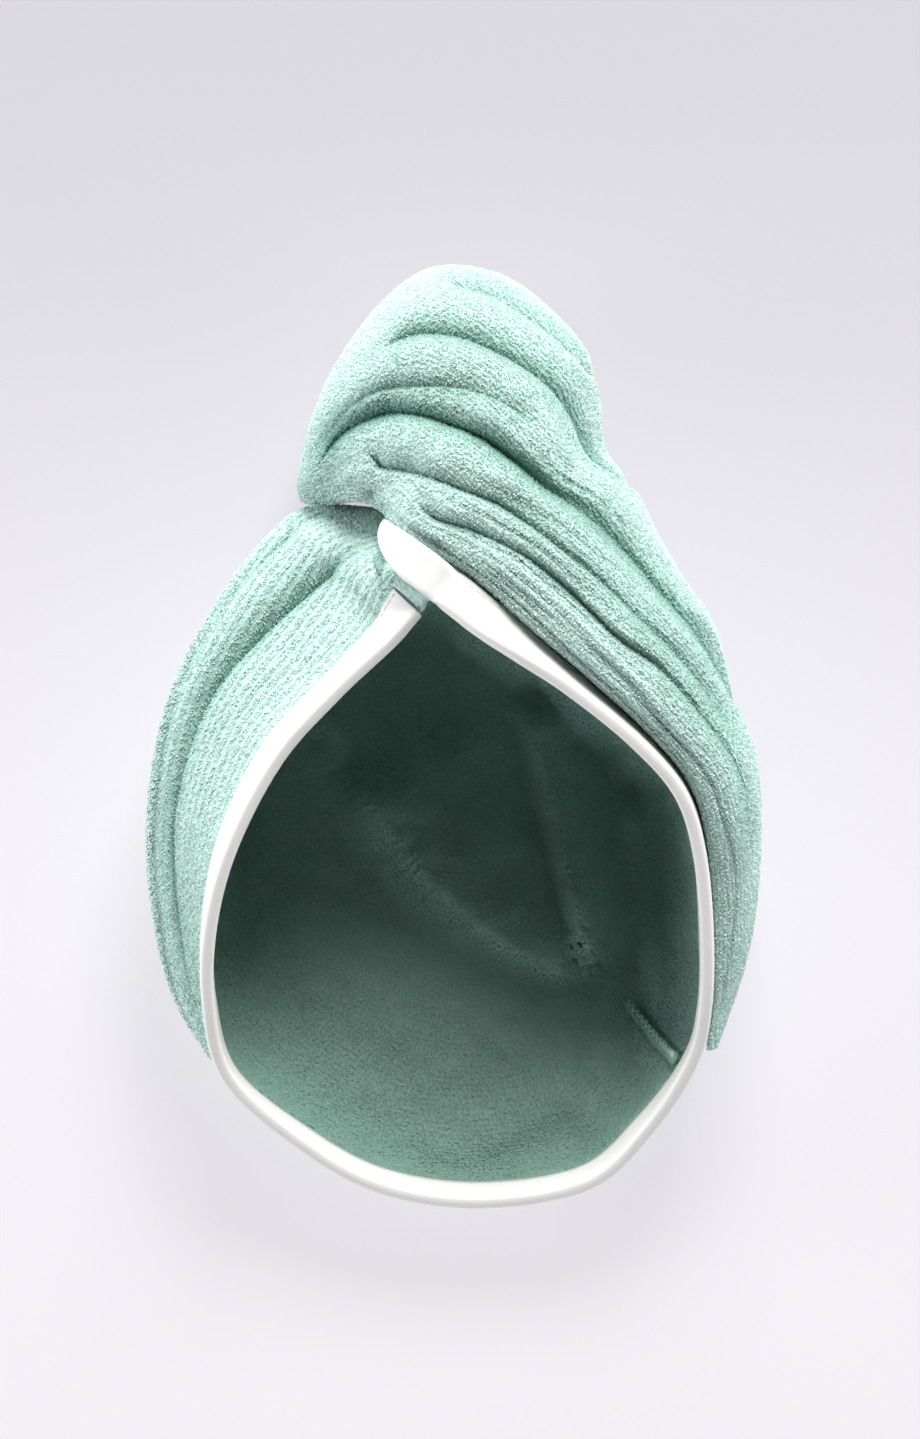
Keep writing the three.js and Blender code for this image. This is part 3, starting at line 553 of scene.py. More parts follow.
def pile_tree(where, row_axis):
    """Small upright tufts in rows over the part of a cloth that an attribute names."""
    tree = trim_tree("pile of " + where, {
        "Tufts to a square metre": "Float", "Tuft radius": "Float", "Tuft height": "Float",
        "Row gap": "Float", "Seed": "Int", "Material": "Material",
    })
    new, link = tree.nodes.new, tree.links.new
    given = new("NodeGroupInput")
    share = new("GeometryNodeInputNamedAttribute")
    share.data_type = "FLOAT"
    share.inputs["Name"].default_value = where
    many = new("ShaderNodeMath")
    many.operation = "MULTIPLY"
    link(share.outputs["Attribute"], many.inputs[0])
    link(given.outputs["Tufts to a square metre"], many.inputs[1])
    spread = new("GeometryNodeDistributePointsOnFaces")
    link(given.outputs["Geometry"], spread.inputs["Mesh"])
    link(many.outputs["Value"], spread.inputs["Density"])
    link(given.outputs["Seed"], spread.inputs["Seed"])
    tuft = new("GeometryNodeMeshCone")
    tuft.fill_type = "NONE"
    tuft.inputs["Vertices"].default_value = 3
    tuft.inputs["Radius Top"].default_value = 0
    link(given.outputs["Tuft radius"], tuft.inputs["Radius Bottom"])
    link(given.outputs["Tuft height"], tuft.inputs["Depth"])
    uv = new("GeometryNodeInputNamedAttribute")
    uv.data_type = "FLOAT_VECTOR"
    uv.inputs["Name"].default_value = "UVMap"
    apart = new("ShaderNodeSeparateXYZ")
    link(uv.outputs["Attribute"], apart.inputs["Vector"])
    rows = new("ShaderNodeMath")
    rows.operation = "DIVIDE"
    link(apart.outputs[row_axis], rows.inputs[0])
    link(given.outputs["Row gap"], rows.inputs[1])
    part = new("ShaderNodeMath")
    part.operation = "FRACT"
    link(rows.outputs["Value"], part.inputs[0])
    keep = new("FunctionNodeCompare")
    keep.data_type = "FLOAT"
    keep.operation = "LESS_THAN"
    link(part.outputs["Value"], keep.inputs["A"])
    keep.inputs["B"].default_value = ROW_SHARE
    lean = new("FunctionNodeRandomValue")
    lean.data_type = "FLOAT_VECTOR"
    lean.inputs["Min"].default_value = (-0.5, -0.5, 0)
    lean.inputs["Max"].default_value = (0.5, 0.5, 2 * math.pi)
    link(given.outputs["Seed"], lean.inputs["Seed"])
    euler = new("FunctionNodeEulerToRotation")
    link(lean.outputs["Value"], euler.inputs["Euler"])
    turn = new("FunctionNodeRotateRotation")
    turn.rotation_space = "LOCAL"
    link(spread.outputs["Rotation"], turn.inputs["Rotation"])
    link(euler.outputs["Rotation"], turn.inputs["Rotate By"])
    size = new("FunctionNodeRandomValue")
    size.data_type = "FLOAT"
    size.inputs[2].default_value = 0.7
    size.inputs[3].default_value = 1.3
    link(given.outputs["Seed"], size.inputs["Seed"])
    place = new("GeometryNodeInstanceOnPoints")
    link(spread.outputs["Points"], place.inputs["Points"])
    link(keep.outputs["Result"], place.inputs["Selection"])
    link(tuft.outputs["Mesh"], place.inputs["Instance"])
    link(turn.outputs["Rotation"], place.inputs["Rotation"])
    link(size.outputs[1], place.inputs["Scale"])
    finish_trim(tree, place, given)
    return tree


def grown(name, ground, tree, values):
    """A plain mesh of what a tree of nodes makes from a piece, left on its own."""
    worker = bpy.data.objects.new(name + " ground", ground)
    bpy.context.collection.objects.link(worker)
    nodes_on = worker.modifiers.new("nodes", "NODES")
    nodes_on.node_group = tree
    for item in tree.interface.items_tree:
        if item.in_out == "INPUT" and item.name in values:
            nodes_on[item.identifier] = values[item.name]
    seen = worker.evaluated_get(bpy.context.evaluated_depsgraph_get())
    mesh = bpy.data.meshes.new_from_object(seen)
    worker.modifiers.clear()
    bpy.data.objects.remove(worker)
    mesh.name = name
    piece = bpy.data.objects.new(name, mesh)
    bpy.context.collection.objects.link(piece)
    return piece


def marked_area(piece, name):
    """Area in square metres over which an attribute is one."""
    mesh = piece.data
    share = np.zeros(len(mesh.vertices), np.float32)
    mesh.attributes[name].data.foreach_get("value", share)
    area = np.zeros(len(mesh.polygons), np.float32)
    mesh.polygons.foreach_get("area", area)
    start = np.zeros(len(mesh.polygons), int)
    mesh.polygons.foreach_get("loop_start", start)
    corner = np.zeros(len(mesh.loops), int)
    mesh.loops.foreach_get("vertex_index", corner)
    return float((area * share[corner[start]]).sum())


def pile(name, ground, where, row_axis, high, seed, coat):
    """Tufts over one part of a cloth, as a piece of their own."""
    many = TUFTS_TO_A_PIECE / ROW_SHARE / marked_area(ground, where)
    piece = grown(name, ground.data, pile_tree(where, row_axis), {
        "Tufts to a square metre": many, "Tuft radius": TUFT_RADIUS, "Tuft height": high,
        "Row gap": LOOP_ROWS, "Seed": seed, "Material": coat,
    })
    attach(piece, "root")


point_high = hood_rings[..., 2].ravel()
is_outer = np.arange(len(hood_rings)) < len(outside) - BAND_ROWS - 1
is_inner = np.arange(len(hood_rings)) > len(outside) + BAND_ROWS + 1
outer_share = np.repeat(is_outer, HOOD_AROUND) * (point_high > OUTSIDE_PILE_FROM)
inner_share = np.repeat(is_inner, HOOD_AROUND) * np.ones(len(point_high))
mark(hood, "outer", np.append(outer_share, [0, 0]))
mark(hood, "inner", np.append(inner_share, [0, 1]))
mint_pile = tuft_material("mint pile", [c * 0.86 for c in MINT], [c * 0.6 + 0.4 for c in MINT])
pile("hood_pile_outside", hood, "outer", "Y", TUFT_HIGH, 31, mint_pile)
# The inside pile takes the same painted shade.
inside_pile_painted_shade = tuft_material(
    "mint pile inside, painted shade", [c * 0.86 for c in MINT_INSIDE_PAINTED_SHADE], [c * 1.2 for c in MINT_INSIDE_PAINTED_SHADE])
pile("hood_pile_inside", hood, "inner", "Y", TUFT_HIGH * INSIDE_TUFT, 32, inside_pile_painted_shade)
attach(hood, "root")
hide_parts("hood")


# Wrap and bun
# The right-hand front of the towel, rolled and twisted on its way over the
# brow. It widens into the bun, whose rolls nest round its left end and are
# pinched together at the crossing, and whose tail is tucked in underneath.
WRAP_RINGS = 380
# Each row: a section's inner and outer point, the heights of its inner edge,
# top, outer side and underside, and how far across its top and bottom lie.
WRAP = {
    "corner_end": (0.416, -0.325, 0.430, -0.323, 0.443, 0.459, 0.393, 0.328, 0.30, 0.60),
    "jaw": (0.423, -0.246, 0.475, -0.232, 0.557, 0.590, 0.459, 0.213, 0.30, 0.60),
    "side_low": (0.417, -0.156, 0.495, -0.154, 0.672, 0.705, 0.475, 0.148, 0.30, 0.60),
    "side": (0.403, -0.090, 0.500, -0.082, 0.762, 0.803, 0.475, 0.098, 0.30, 0.60),
    "ear": (0.377, -0.042, 0.495, -0.018, 0.820, 0.869, 0.475, 0.066, 0.30, 0.60),
    "cheek": (0.318, 0.004, 0.462, 0.045, 0.869, 0.918, 0.475, 0.033, 0.30, 0.60),
    "temple": (0.244, 0.049, 0.426, 0.114, 0.910, 0.959, 0.475, 0.000, 0.33, 0.60),
    "brow_side": (0.180, 0.084, 0.387, 0.157, 0.918, 0.984, 0.475, -0.025, 0.36, 0.60),
    "brow": (0.115, 0.119, 0.328, 0.220, 0.926, 0.992, 0.467, -0.033, 0.40, 0.60),
    "brow_top": (0.048, 0.157, 0.282, 0.277, 0.926, 1.000, 0.467, -0.041, 0.42, 0.60),
    "forehead": (-0.022, 0.190, 0.244, 0.306, 0.926, 1.000, 0.467, -0.041, 0.45, 0.55),
    "knot_front": (-0.072, 0.208, 0.233, 0.356, 0.910, 1.000, 0.459, -0.041, 0.48, 0.55),
    "knot_side": (-0.103, 0.223, 0.210, 0.408, 0.844, 0.992, 0.451, -0.041, 0.50, 0.55),
    "bun_front": (-0.113, 0.234, 0.148, 0.453, 0.795, 0.975, 0.451, -0.041, 0.50, 0.55),
    "bun": (-0.126, 0.240, 0.059, 0.490, 0.762, 0.951, 0.443, -0.041, 0.50, 0.55),
    "bun_back": (-0.136, 0.244, -0.041, 0.494, 0.738, 0.918, 0.434, -0.041, 0.50, 0.55),
    "bun_turn": (-0.151, 0.247, -0.138, 0.445, 0.754, 0.869, 0.410, -0.033, 0.50, 0.55),
    "bun_left": (-0.172, 0.248, -0.221, 0.361, 0.705, 0.770, 0.377, 0.000, 0.50, 0.55),
    "bun_end": (-0.200, 0.247, -0.256, 0.281, 0.574, 0.623, 0.344, 0.131, 0.50, 0.55),
    "bun_tip": (-0.228, 0.248, -0.254, 0.254, 0.426, 0.459, 0.328, 0.230, 0.50, 0.55),
}
# Each row: a valley's depth, half its width, its first and last section, and
# where it runs at each section, from the inner edge over the top and back under.
VALLEYS = {
    "beside_tape": (0.0016, 0.0022, 1, 10, (
        .15, .20, .15, .07, .06, .06, .06, .07, .07, .05,
        .03, .03, .03, .03, .03, .03, .03, .03, .05, .05)),
    "lower_roll": (0.0032, 0.0026, 1, 5, (
        .50, .55, .66, .49, .36, .24, .20, .20, .18, .14,
        .10, .07, .08, .08, .07, .07, .10, .10, .15, .15)),
    "first": (0.0050, 0.0032, 3, 11, (
        .80, .85, .86, .80, .73, .66, .57, .47, .40, .31,
        .22, .12, .14, .13, .11, .10, .18, .20, .25, .25)),
    "second": (0.0050, 0.0034, 5, 15, (
        .90, .93, .95, .93, .87, .81, .71, .66, .58, .49,
        .44, .31, .23, .18, .15, .14, .25, .30, .35, .35)),
    "deep": (0.0100, 0.0046, 4, 17, (
        1.0, 1.02, 1.04, 1.04, 1.03, 1.0, .92, .88, .82, .71,
        .66, .55, .46, .40, .37, .36, .40, .52, .60, .60)),
    "broad": (0.0040, 0.0050, 12, 17, (
        1.1, 1.1, 1.1, 1.12, 1.12, 1.1, 1.02, .98, .92, .84,
        .78, .70, .63, .56, .48, .46, .53, .65, .75, .75)),
    "upper": (0.0080, 0.0050, 8, 15, (
        1.2, 1.2, 1.2, 1.2, 1.2, 1.2, 1.15, 1.1, 1.05, .98,
        .94, .89, .81, .76, .71, .70, .72, .80, .90, .90)),
    "far": (0.0060, 0.0050, 8, 14, (
        1.3, 1.3, 1.3, 1.3, 1.3, 1.3, 1.28, 1.25, 1.22, 1.18,
        1.12, 1.03, .96, .94, .92, .92, .95, 1.0, 1.1, 1.1)),
    "side": (0.0060, 0.0050, 3, 17, (
        1.5, 1.5, 1.5, 1.5, 1.46, 1.45, 1.42, 1.4, 1.38, 1.36,
        1.34, 1.3, 1.28, 1.26, 1.25, 1.25, 1.28, 1.3, 1.35, 1.35)),
    "under": (0.0040, 0.0050, 6, 15, (
        1.8, 1.8, 1.8, 1.8, 1.78, 1.76, 1.74, 1.72, 1.7, 1.7,
        1.68, 1.66, 1.65, 1.64, 1.63, 1.63, 1.64, 1.66, 1.7, 1.7)),
}
BETWEEN_VALLEYS = (6, 12, 16, 20, 22, 18, 20, 16, 18, 14, 18)
FULL_SHADE = 0.010
STRAND = 0.0008
FINE_STRAND = 0.0003
SOFT_SWELL = 0.0012
SMOOTH_RINGS = 31
SPAN_LEAST = 0.03
NARROW_SPAN = 0.045
CORE_LEAST = 0.006


def turn_of(share):
    """Angle round a section for a share of the way across, past 1 on the underside."""
    low = np.arccos(np.clip(1 - 2 * share, -1, 1))
    high = 2 * math.pi - np.arccos(np.clip(2 * (2 - share) * -1 + 1, -1, 1))
    return np.where(share <= 1, low, high)


def wrap_surface():
    """The wrap's skin as a stack of closed sections, and how deep each point lies, which sets the shade
    painted there.
    """
    rows = np.array(list(WRAP.values()))
    last = len(rows) - 1
    place = np.linspace(0, last, WRAP_RINGS)
    v = through(rows, place, False)
    inner = v[:, 0:2] * (WIDTH, LENGTH)
    outer = v[:, 2:4] * (WIDTH, LENGTH)
    edge, top, side, base = (v[:, k, None] * HEIGHT for k in (4, 5, 6, 7))
    crown, low = v[:, 8, None], v[:, 9, None]
    span = np.linalg.norm(outer - inner, axis=1)[:, None]
    sections = np.arange(last + 1)
    turns, deeps, halves = [], [], []
    for deep, half, first, final, shares in VALLEYS.values():
        share = np.interp(place, sections, shares)
        kernel = np.hanning(SMOOTH_RINGS) / np.hanning(SMOOTH_RINGS).sum()
        share = np.convolve(np.pad(share, SMOOTH_RINGS // 2, mode="edge"), kernel, "valid")
        turns.append(turn_of(share))
        deeps.append(deep * ease(place - first + 1) * ease(final + 1 - place))
        halves.append(half)
    stops = [np.zeros(WRAP_RINGS), *turns, np.full(WRAP_RINGS, 2 * math.pi)]
    angles, folds = [], []
    for k, count in enumerate(BETWEEN_VALLEYS):
        for i in range(count):
            t = i / count
            t = t + 0.10 * math.sin(4 * math.pi * t) * -0.5
            angles.append(mix(stops[k], stops[k + 1], t))
            folds.append(k + t)
    angle = np.array(angles).T
    fold = np.array(folds)[None, :]
    c, s = -np.cos(angle), np.sin(angle)
    pivot = np.where(s >= 0, crown, low)
    bulge = np.where((s < 0) & (c < 0), -np.abs(c) ** 1.5, c)
    share = np.where(c < 0, pivot + bulge * pivot, pivot + c * (1 - pivot))
    rest = np.where(c < 0, edge, side)
    z = np.where(s >= 0, rest + (top - rest) * s, rest + (rest - base) * s)
    press = np.zeros(angle.shape)
    for turn, deep, half in zip(turns, deeps, halves):
        gap = np.abs(angle - turn[:, None])
        press += deep[:, None] * np.exp(-gap * np.maximum(span, SPAN_LEAST) / 2 / half)
    # How much shade is painted into the colour at each point, from the depth of the valleys.
    shade = np.clip(press / FULL_SHADE, 0, 1)
    run = place[:, None]
    calm = 1 - 0.75 * ease((run - 10) / 4)
    strand = undulation(fold * 2.6, run * 0.22, 1.3, 21) * STRAND * calm
    strand += undulation(fold * 6.0, run * 0.35, 1.2, 22) * FINE_STRAND * calm
    soft = undulation(fold * 0.8, run, 2.2, 23) * SOFT_SWELL
    small = np.minimum(1, span / NARROW_SPAN)
    press = (press + (strand + soft) * ease(fold / 2)) * small
    z_middle = mix(base, top, 0.45)
    dz, dr = z - z_middle, (share - 0.5) * span
    size = np.maximum(CORE_LEAST, np.hypot(dr, dz))
    share = share - np.maximum(0, dr) / size * press / span
    z = np.where(share > 0.02, z - dz / size * press, z)
    x = mix(inner[:, 0, None], outer[:, 0, None], share)
    y = mix(inner[:, 1, None], outer[:, 1, None], share)
    return np.stack([x, y, np.maximum(0, z)], 2), shade


wrap_rings, wrap_shade = wrap_surface()
steps = np.linalg.norm(np.diff(wrap_rings, axis=0), axis=2).mean(1)
wrap_run = np.repeat(np.concatenate([[0], np.cumsum(steps)])[:, None], wrap_rings.shape[1], 1)
wrap_across = across_rings(wrap_rings)
wrap = cloth_mesh(
    "wrap_terry", wrap_rings, wrap_rings[0].mean(0), wrap_rings[-1].mean(0),
    wrap_shade, wrap_run, wrap_across,
)
face_outwards(wrap)
wrap.data.materials.append(mint_terry)
mark(wrap, "twist", np.append(wrap_rings[..., 2].ravel() > WRAP_PILE_FROM, [0, 1]))
pile("wrap_pile_first", wrap, "twist", "X", TUFT_HIGH, 33, mint_pile)
pile("wrap_pile_second", wrap, "twist", "X", TUFT_HIGH, 34, mint_pile)
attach(wrap, "root")
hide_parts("wrap")


# Binding
# One satin tape folded over the raw edge of the opening and stitched through.
# It starts under its own other end at the brow, runs down the left, round the
# nape and up the right, and laps over its start before it tucks under the wrap.
HALF_IN = CLOTH / 2 + GAP
HALF_OUT = HALF_IN + TAPE_THICK
OVER_LENGTH = 0.031
OVER_LIFT = 0.0018
OVER_SINK = 0.0025
OVER_LEAN = 0.05
OVER_TURN = 0.09
OVER_ROUND = 0.35
OVER_TIP = 0.12
OVER_STEPS = 40
TAPE_STEPS = 18
TAPE_FIRST = 4 / 3
FOLD_REST = 0.15
FOLD_POINT = 7
TOP_LEAF_IN = 0.0008
LOW_LEAF_IN = 0.0006
LEAF_LEAST = 0.0001


def tape_section(edge, nx, ny, lean, wide, lower, fold):
    """Points round the folded tape: a folded strip, closing up as fold goes to 0."""
    down = np.array([nx * math.cos(lean), ny * math.cos(lean), -math.sin(lean)])
    off = np.array([nx * math.sin(lean), ny * math.sin(lean), math.cos(lean)])
    bow = GAP + TAPE_THICK
    low_out, low_in = mix(HALF_IN, -HALF_OUT, fold), mix(HALF_IN, -HALF_IN, fold)
    mid, half = (HALF_OUT + low_out) / 2, (HALF_OUT - low_out) / 2
    ledge = min(LOW_LEAF_IN, lower - LEAF_LEAST)
    shape = [(mix(wide, TOP_LEAF_IN, t), HALF_OUT) for t in np.linspace(0, 1, 6)]
    shape += [(-bow * math.cos(a), mid + half * math.sin(a)) for a in np.radians((60, 30, 0, -30, -60))]
    shape += [(mix(ledge, lower, t), low_out) for t in np.linspace(0, 1, 6)]
    shape += [(lower, low_in), (-GAP, low_in), (-GAP, HALF_IN), (wide * 0.5, HALF_IN), (wide, HALF_IN)]
    return [edge + down * a + off * b for a, b in shape]


def tape_rings():
    """Sections of the tape from its start, round the opening and over its start again."""
    first = len(RIM) - TAPE_FIRST
    places = np.linspace(first, 0, int(first * TAPE_STEPS) + 1)
    edges, nxs, nys, leans, _ = rim_frame(places)
    rings = []
    for place, edge, nx, ny, lean in zip(places, edges, nxs, nys, leans):
        lower = mix(TAPE_WIDE, -GAP / 2, float(ease((1 - place) / 0.6)))
        fold = mix(1, FOLD_REST, float(ease(1 - place * 3)))
        rings.append(tape_section(edge, nx, ny, lean, TAPE_WIDE, lower, fold))
    start = math.atan2(CROSS[1], CROSS[0])
    for k in range(1, OVER_STEPS + 1):
        t = 1 - (1 - k / OVER_STEPS) ** 1.6
        angle = start + OVER_TURN * t
        round_off = max(0, (t - OVER_ROUND) / (1 - OVER_ROUND))
        wide = TAPE_WIDE * max(OVER_TIP, math.sqrt(1 - round_off**2))
        lean = mix(leans[-1], OVER_LEAN, float(ease(t * 2)))
        here = edges[-1] + np.array([math.cos(angle), math.sin(angle), 0]) * OVER_LENGTH * t
        here = here + np.array([math.sin(angle), -math.cos(angle), 0]) * (TAPE_WIDE - wide)
        here[2] = edges[-1][2] + OVER_LIFT * float(ease(t * 5)) - OVER_SINK * float(ease((t - 0.4) / 0.6))
        rings.append(tape_section(here, math.sin(angle), -math.cos(angle), lean, wide, -GAP / 2, FOLD_REST))
    return np.array(rings)


rings = tape_rings()
per = rings.shape[1]
tape_run = np.repeat(run_along(rings[:, FOLD_POINT])[:, None], per, 1)
tape_across = across_rings(rings)
binding = cloth_mesh(
    "binding_tape", rings, rings[0].mean(0), rings[-1].mean(0),
    np.zeros(rings.shape[:2]), tape_run, tape_across,
)
face_outwards(binding)


def satin(name, colour):
    """Smooth woven tape with a fine rib along its length."""
    material, nodes, links, shader = towel_finish(name, 0.45, 0.4)
    shader.inputs["Base Color"].default_value = (*colour, 1)
    where = nodes.new("ShaderNodeUVMap")
    where.uv_map = "UVMap"
    weave = nodes.new("ShaderNodeTexWave")
    weave.bands_direction = "Y"
    weave.inputs["Scale"].default_value = 700
    weave.inputs["Distortion"].default_value = 0.6
    links.new(where.outputs["UV"], weave.inputs["Vector"])
    roughened(material, weave.outputs["Fac"], 0.15, 0.0001)
    return material


WHITE = (0.80, 0.795, 0.78)
white_satin = satin("white satin", WHITE)
binding.data.materials.append(white_satin)
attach(binding, "root")
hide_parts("binding")


# Inner seam
# The overlocked seam allowance inside the lower right of the pocket, pressed
# to one side, from the tape down to the floor of the pocket.
SEAM_PLACE = 9.12
SEAM_FIRST = 16
SEAM_LAST = 67
SEAM_WIDE = 0.0044
SEAM_THICK = 0.0022
SEAM_CLEAR = 0.0009
SEAM_SIDES = 18
SEAM_STEPS = 160
# Painted shade: the seam is darkened all over, on top of the inside's painted shade, as it lies down in the
# pocket.
SEAM_DEPTH_SHADE = 0.35


def along_rows(rows, index):
    """Points between the rows of a path, at places counted in rows."""
    return np.stack([np.interp(index, np.arange(len(rows)), rows[:, k]) for k in range(3)], 1)


column = round(SEAM_PLACE / len(RIM) * HOOD_AROUND)
path = inside[SEAM_FIRST:SEAM_LAST + 1, column]
off = -normals[SEAM_FIRST:SEAM_LAST + 1, column]
run = np.linspace(0, len(path) - 1, SEAM_STEPS)
path = along_rows(path, run)
off = along_rows(off, run)
off /= np.linalg.norm(off, axis=1, keepdims=True)
ahead = np.gradient(path, axis=0)
ahead /= np.linalg.norm(ahead, axis=1, keepdims=True)
beside = np.cross(off, ahead)
beside /= np.linalg.norm(beside, axis=1, keepdims=True)
seam_rings = []
for k in range(len(path)):
    wave = 1 + 0.06 * math.sin(k * 0.9) + 0.05 * math.sin(k * 0.37 + 1)
    ends = math.sqrt(max(0.05, 1 - (2 * k / (len(path) - 1) - 1) ** 12))
    ring = []
    for turn in np.arange(SEAM_SIDES) / SEAM_SIDES * 2 * math.pi:
        square = math.copysign(abs(math.cos(turn)) ** 0.7, math.cos(turn))
        across = square * SEAM_WIDE / 2 * wave * ends
        rise = SEAM_CLEAR + SEAM_THICK / 2 * (1 + math.sin(turn) * ends)
        ring.append(path[k] + beside[k] * across + off[k] * rise)
    seam_rings.append(ring)
seam_rings = np.array(seam_rings)
seam_run = np.repeat(run_along(path)[:, None], SEAM_SIDES, 1)
seam_across = np.repeat(np.arange(SEAM_SIDES)[None, :] * SEAM_WIDE * 2.4 / SEAM_SIDES, len(path), 0)
seam = cloth_mesh(
    "inner_seam", seam_rings, seam_rings[0].mean(0), seam_rings[-1].mean(0),
    np.full(seam_rings.shape[:2], SEAM_DEPTH_SHADE), seam_run, seam_across,
)
face_outwards(seam)
seam.data.materials.append(inside_terry_painted_shade)
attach(seam, "root")
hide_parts("inner_seam")


def stitch_tree():
    """Short rounded stitches at marked points, turned as each point says."""
    tree = trim_tree("stitches", {
        "Stitch length": "Float", "Thread thickness": "Float", "Material": "Material",
    })
    new, link = tree.nodes.new, tree.links.new
    given = new("NodeGroupInput")
    bead = new("GeometryNodeMeshUVSphere")
    bead.inputs["Segments"].default_value = 8
    bead.inputs["Rings"].default_value = 6
    bead.inputs["Radius"].default_value = 0.5
    scale = new("ShaderNodeCombineXYZ")
    link(given.outputs["Stitch length"], scale.inputs["X"])
    link(given.outputs["Thread thickness"], scale.inputs["Y"])
    link(given.outputs["Thread thickness"], scale.inputs["Z"])
    shape = new("GeometryNodeTransform")
    link(bead.outputs["Mesh"], shape.inputs["Geometry"])
    link(scale.outputs["Vector"], shape.inputs["Scale"])
    turn = new("GeometryNodeInputNamedAttribute")
    turn.data_type = "FLOAT_VECTOR"
    turn.inputs["Name"].default_value = "turn"
    place = new("GeometryNodeInstanceOnPoints")
    link(given.outputs["Geometry"], place.inputs["Points"])
    link(shape.outputs["Geometry"], place.inputs["Instance"])
    link(turn.outputs["Attribute"], place.inputs["Rotation"])
    finish_trim(tree, place, given)
    return tree


def stitches(name, spots, along, up, length, thick, coat):
    """A row of stitches as one piece: a point, a direction and an up for each."""
    mesh = bpy.data.meshes.new(name + " points")
    moved = [(x + MIDDLE_X, y + MIDDLE_Y, z) for x, y, z in spots]
    mesh.from_pydata(moved, [], [])
    turns = []
    for a, u in zip(along, up):
        x = Vector(a).normalized()
        z = (Vector(u) - x * Vector(u).dot(x)).normalized()
        y = z.cross(x)
        turns.append(Matrix((x, y, z)).transposed().to_euler())
    attribute = mesh.attributes.new("turn", "FLOAT_VECTOR", "POINT")
    attribute.data.foreach_set("vector", [v for turn in turns for v in turn])
    piece = grown(name, mesh, stitch_tree(), {
        "Stitch length": length, "Thread thickness": thick, "Material": coat,
    })
    piece.data.shade_smooth()
    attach(piece, "root")
    return piece


def thread_material(name, colour):
    """Sewing thread with a slight change of tone along it."""
    material, nodes, links, shader = towel_finish(name, 0.6, 0.3)
    grain = cloth_grain(material, 700, 2)
    tone = nodes.new("ShaderNodeMix")
    tone.data_type = "RGBA"
    tone.inputs["A"].default_value = (*[c * 0.85 for c in colour], 1)
    tone.inputs["B"].default_value = (*colour, 1)
    links.new(grain.outputs["Fac"], tone.inputs["Factor"])
    links.new(tone.outputs["Result"], shader.inputs["Base Color"])
    return material


OVERLOCK_STEP = 0.0015
OVERLOCK_LONG = 0.0030
OVERLOCK_THREAD = 0.00045
OVERLOCK_IN = 0.002
seam_thread = thread_material("mint thread", (0.62, 0.78, 0.70))
distance = run_along(path)
at = np.arange(OVERLOCK_IN, distance[-1] - OVERLOCK_IN, OVERLOCK_STEP)
index = np.interp(at, distance, np.arange(len(distance)))
off, ahead, beside = (along_rows(rows, index) for rows in (off, ahead, beside))
seam_spots = along_rows(path, index) + off * (SEAM_CLEAR + SEAM_THICK * 1.02) - beside * SEAM_WIDE * 0.18
zigzag = np.where(np.arange(len(at)) % 2, 0.5, -0.5)[:, None]
stitches(
    "seam_stitches", seam_spots, beside + ahead * zigzag, off, OVERLOCK_LONG, OVERLOCK_THREAD,
    seam_thread,
)

STITCH_LONG = 0.0022
STITCH_STEP = 0.0029
STITCH_IN = 0.0016
STITCH_THREAD = 0.00034
STITCH_CLEAR = 0.00008
LINE_STEPS = 1200
tape_thread = thread_material("white thread", (0.90, 0.90, 0.885))
places = np.linspace(len(RIM) - 1.6, 0.3, LINE_STEPS)
edges, nxs, nys, leans, _ = rim_frame(places)
downs = np.stack([nxs * np.cos(leans), nys * np.cos(leans), -np.sin(leans)], 1)
offs = np.stack([nxs * np.sin(leans), nys * np.sin(leans), np.cos(leans)], 1)
line = edges + downs * (TAPE_WIDE - STITCH_IN) + offs * (HALF_OUT + STITCH_CLEAR)
distance = run_along(line)
at = np.arange(0, distance[-1], STITCH_STEP)
index = np.interp(at, distance, np.arange(len(distance)))
ahead = np.gradient(line, axis=0)
line, ahead, offs = (along_rows(rows, index) for rows in (line, ahead, offs))
stitches(
    "tape_stitches", line, ahead, offs, STITCH_LONG, STITCH_THREAD, tape_thread,
)


# Studio
# A plain pale sheet that glows, painted light that is brighter towards the nape end
# and dimmer towards the bun's side, one large soft light from the bun's side, three
# weak ones low round the towel, and a camera straight above, as it was photographed.
PIXEL = 0.000360
FRAME_HIGH = 1439
FRAME_WIDE = 920
CAMERA_UP = 2.0
LEVEL = 0.06
SENSOR = 24
TOWEL_X = 455
TOWEL_Y = 740
FRAME_X = (FRAME_WIDE / 2 - TOWEL_X) * PIXEL + MIDDLE_X
FRAME_Y = (TOWEL_Y - FRAME_HIGH / 2) * PIXEL + MIDDLE_Y
FLOOR_HALF = 3.0
PAINTED_GLOW_LOW = (0.675, 0.655, 0.695)
PAINTED_GLOW_TOP = (0.40, 0.385, 0.425)
ROOM_SIDES = 1.15
ROOM_OVERHEAD = 0.05
LIGHT_SIZE = 0.9

floor_mesh = bpy.data.meshes.new("floor")
corners = [(x * FLOOR_HALF, y * FLOOR_HALF, 0) for x, y in ((-1, -1), (1, -1), (1, 1), (-1, 1))]
floor_mesh.from_pydata(corners, [], [(0, 1, 2, 3)])
floor = bpy.data.objects.new("floor", floor_mesh)
bpy.context.collection.objects.link(floor)
glowing_sheet = bpy.data.materials.new("pale sheet with a painted glow")
glowing_sheet.use_nodes = True
nodes, links = glowing_sheet.node_tree.nodes, glowing_sheet.node_tree.links
sheet = nodes["Principled BSDF"]
sheet.inputs["Base Color"].default_value = (0.20, 0.20, 0.21, 1)
sheet.inputs["Roughness"].default_value = 0.95
sheet.inputs["Specular IOR Level"].default_value = 0.05
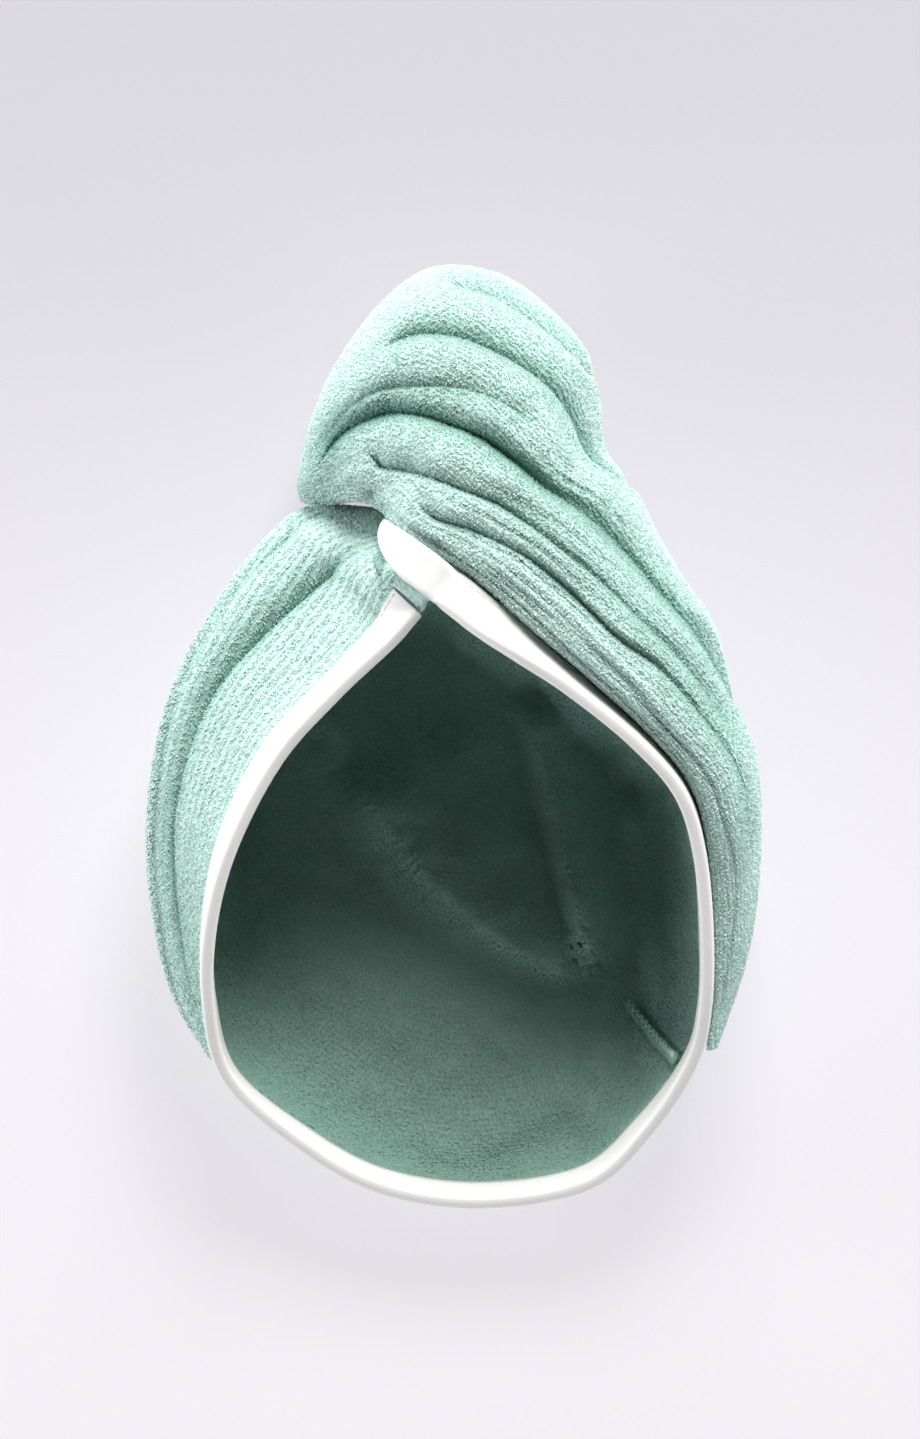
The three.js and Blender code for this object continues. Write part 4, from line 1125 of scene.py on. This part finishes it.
# Painted light: the sheet glows, bright towards the nape end and dimmer towards the bun's side, which
# washes out the towel's shadows on it.
sheet.inputs["Emission Strength"].default_value = 1.0
place = nodes.new("ShaderNodeTexCoord")
apart = nodes.new("ShaderNodeSeparateXYZ")
links.new(place.outputs["Object"], apart.inputs["Vector"])
fall = nodes.new("ShaderNodeMapRange")
fall.interpolation_type = "SMOOTHSTEP"
fall.inputs["From Min"].default_value = -0.10
fall.inputs["From Max"].default_value = 0.30
links.new(apart.outputs["Y"], fall.inputs["Value"])
painted_glow_colour = nodes.new("ShaderNodeMix")
painted_glow_colour.data_type = "RGBA"
painted_glow_colour.inputs["A"].default_value = (*PAINTED_GLOW_LOW, 1)
painted_glow_colour.inputs["B"].default_value = (*PAINTED_GLOW_TOP, 1)
links.new(fall.outputs["Result"], painted_glow_colour.inputs["Factor"])
links.new(painted_glow_colour.outputs["Result"], sheet.inputs["Emission Color"])
floor.data.materials.append(glowing_sheet)


def soft_light(name, place, aim, power, colour):
    """A square light that faces a point on the towel."""
    lamp = bpy.data.lights.new(name, "AREA")
    lamp.shape = "SQUARE"
    lamp.size = LIGHT_SIZE
    lamp.energy = power
    lamp.color = colour
    made = bpy.data.objects.new(name, lamp)
    made.location = place
    made.rotation_euler = (Vector(aim) - Vector(place)).to_track_quat("-Z", "Y").to_euler()
    bpy.context.collection.objects.link(made)


soft_light("window", (0.30, 1.75, 1.30), (0, 0.02, 0.05), 78, (1.0, 0.99, 0.98))
soft_light("left fill", (-1.9, 0.1, 0.42), (0, 0, 0.06), 30, (1.0, 1.0, 1.0))
soft_light("right fill", (1.9, -0.2, 0.42), (0, 0, 0.06), 15, (1.0, 1.0, 1.0))
soft_light("near fill", (0.0, -2.0, 0.26), (0, 0, 0.05), 17, (1.0, 1.0, 1.0))
world = bpy.data.worlds.new("room, pale round the sides and dim overhead")
world.use_nodes = True
nodes, links = world.node_tree.nodes, world.node_tree.links
sky = nodes["Background"]
place = nodes.new("ShaderNodeTexCoord")
apart = nodes.new("ShaderNodeSeparateXYZ")
links.new(place.outputs["Generated"], apart.inputs["Vector"])
rise = nodes.new("ShaderNodeMapRange")
rise.interpolation_type = "SMOOTHSTEP"
rise.inputs["From Min"].default_value = 0.06
rise.inputs["From Max"].default_value = 0.30
rise.inputs["To Min"].default_value = ROOM_SIDES
rise.inputs["To Max"].default_value = ROOM_OVERHEAD
links.new(apart.outputs["Z"], rise.inputs["Value"])
links.new(rise.outputs["Result"], sky.inputs["Strength"])
sky.inputs["Color"].default_value = (0.97, 0.96, 1.0, 1)
bpy.context.scene.world = world

lens = bpy.data.cameras.new("camera")
lens.sensor_fit = "VERTICAL"
lens.sensor_height = SENSOR
lens.lens = SENSOR / 2 / (FRAME_HIGH * PIXEL / 2 / (CAMERA_UP - LEVEL))
camera = bpy.data.objects.new("camera", lens)
camera.location = (FRAME_X, FRAME_Y, CAMERA_UP)
bpy.context.collection.objects.link(camera)
bpy.context.scene.camera = camera
bpy.context.scene.view_settings.view_transform = "Standard"
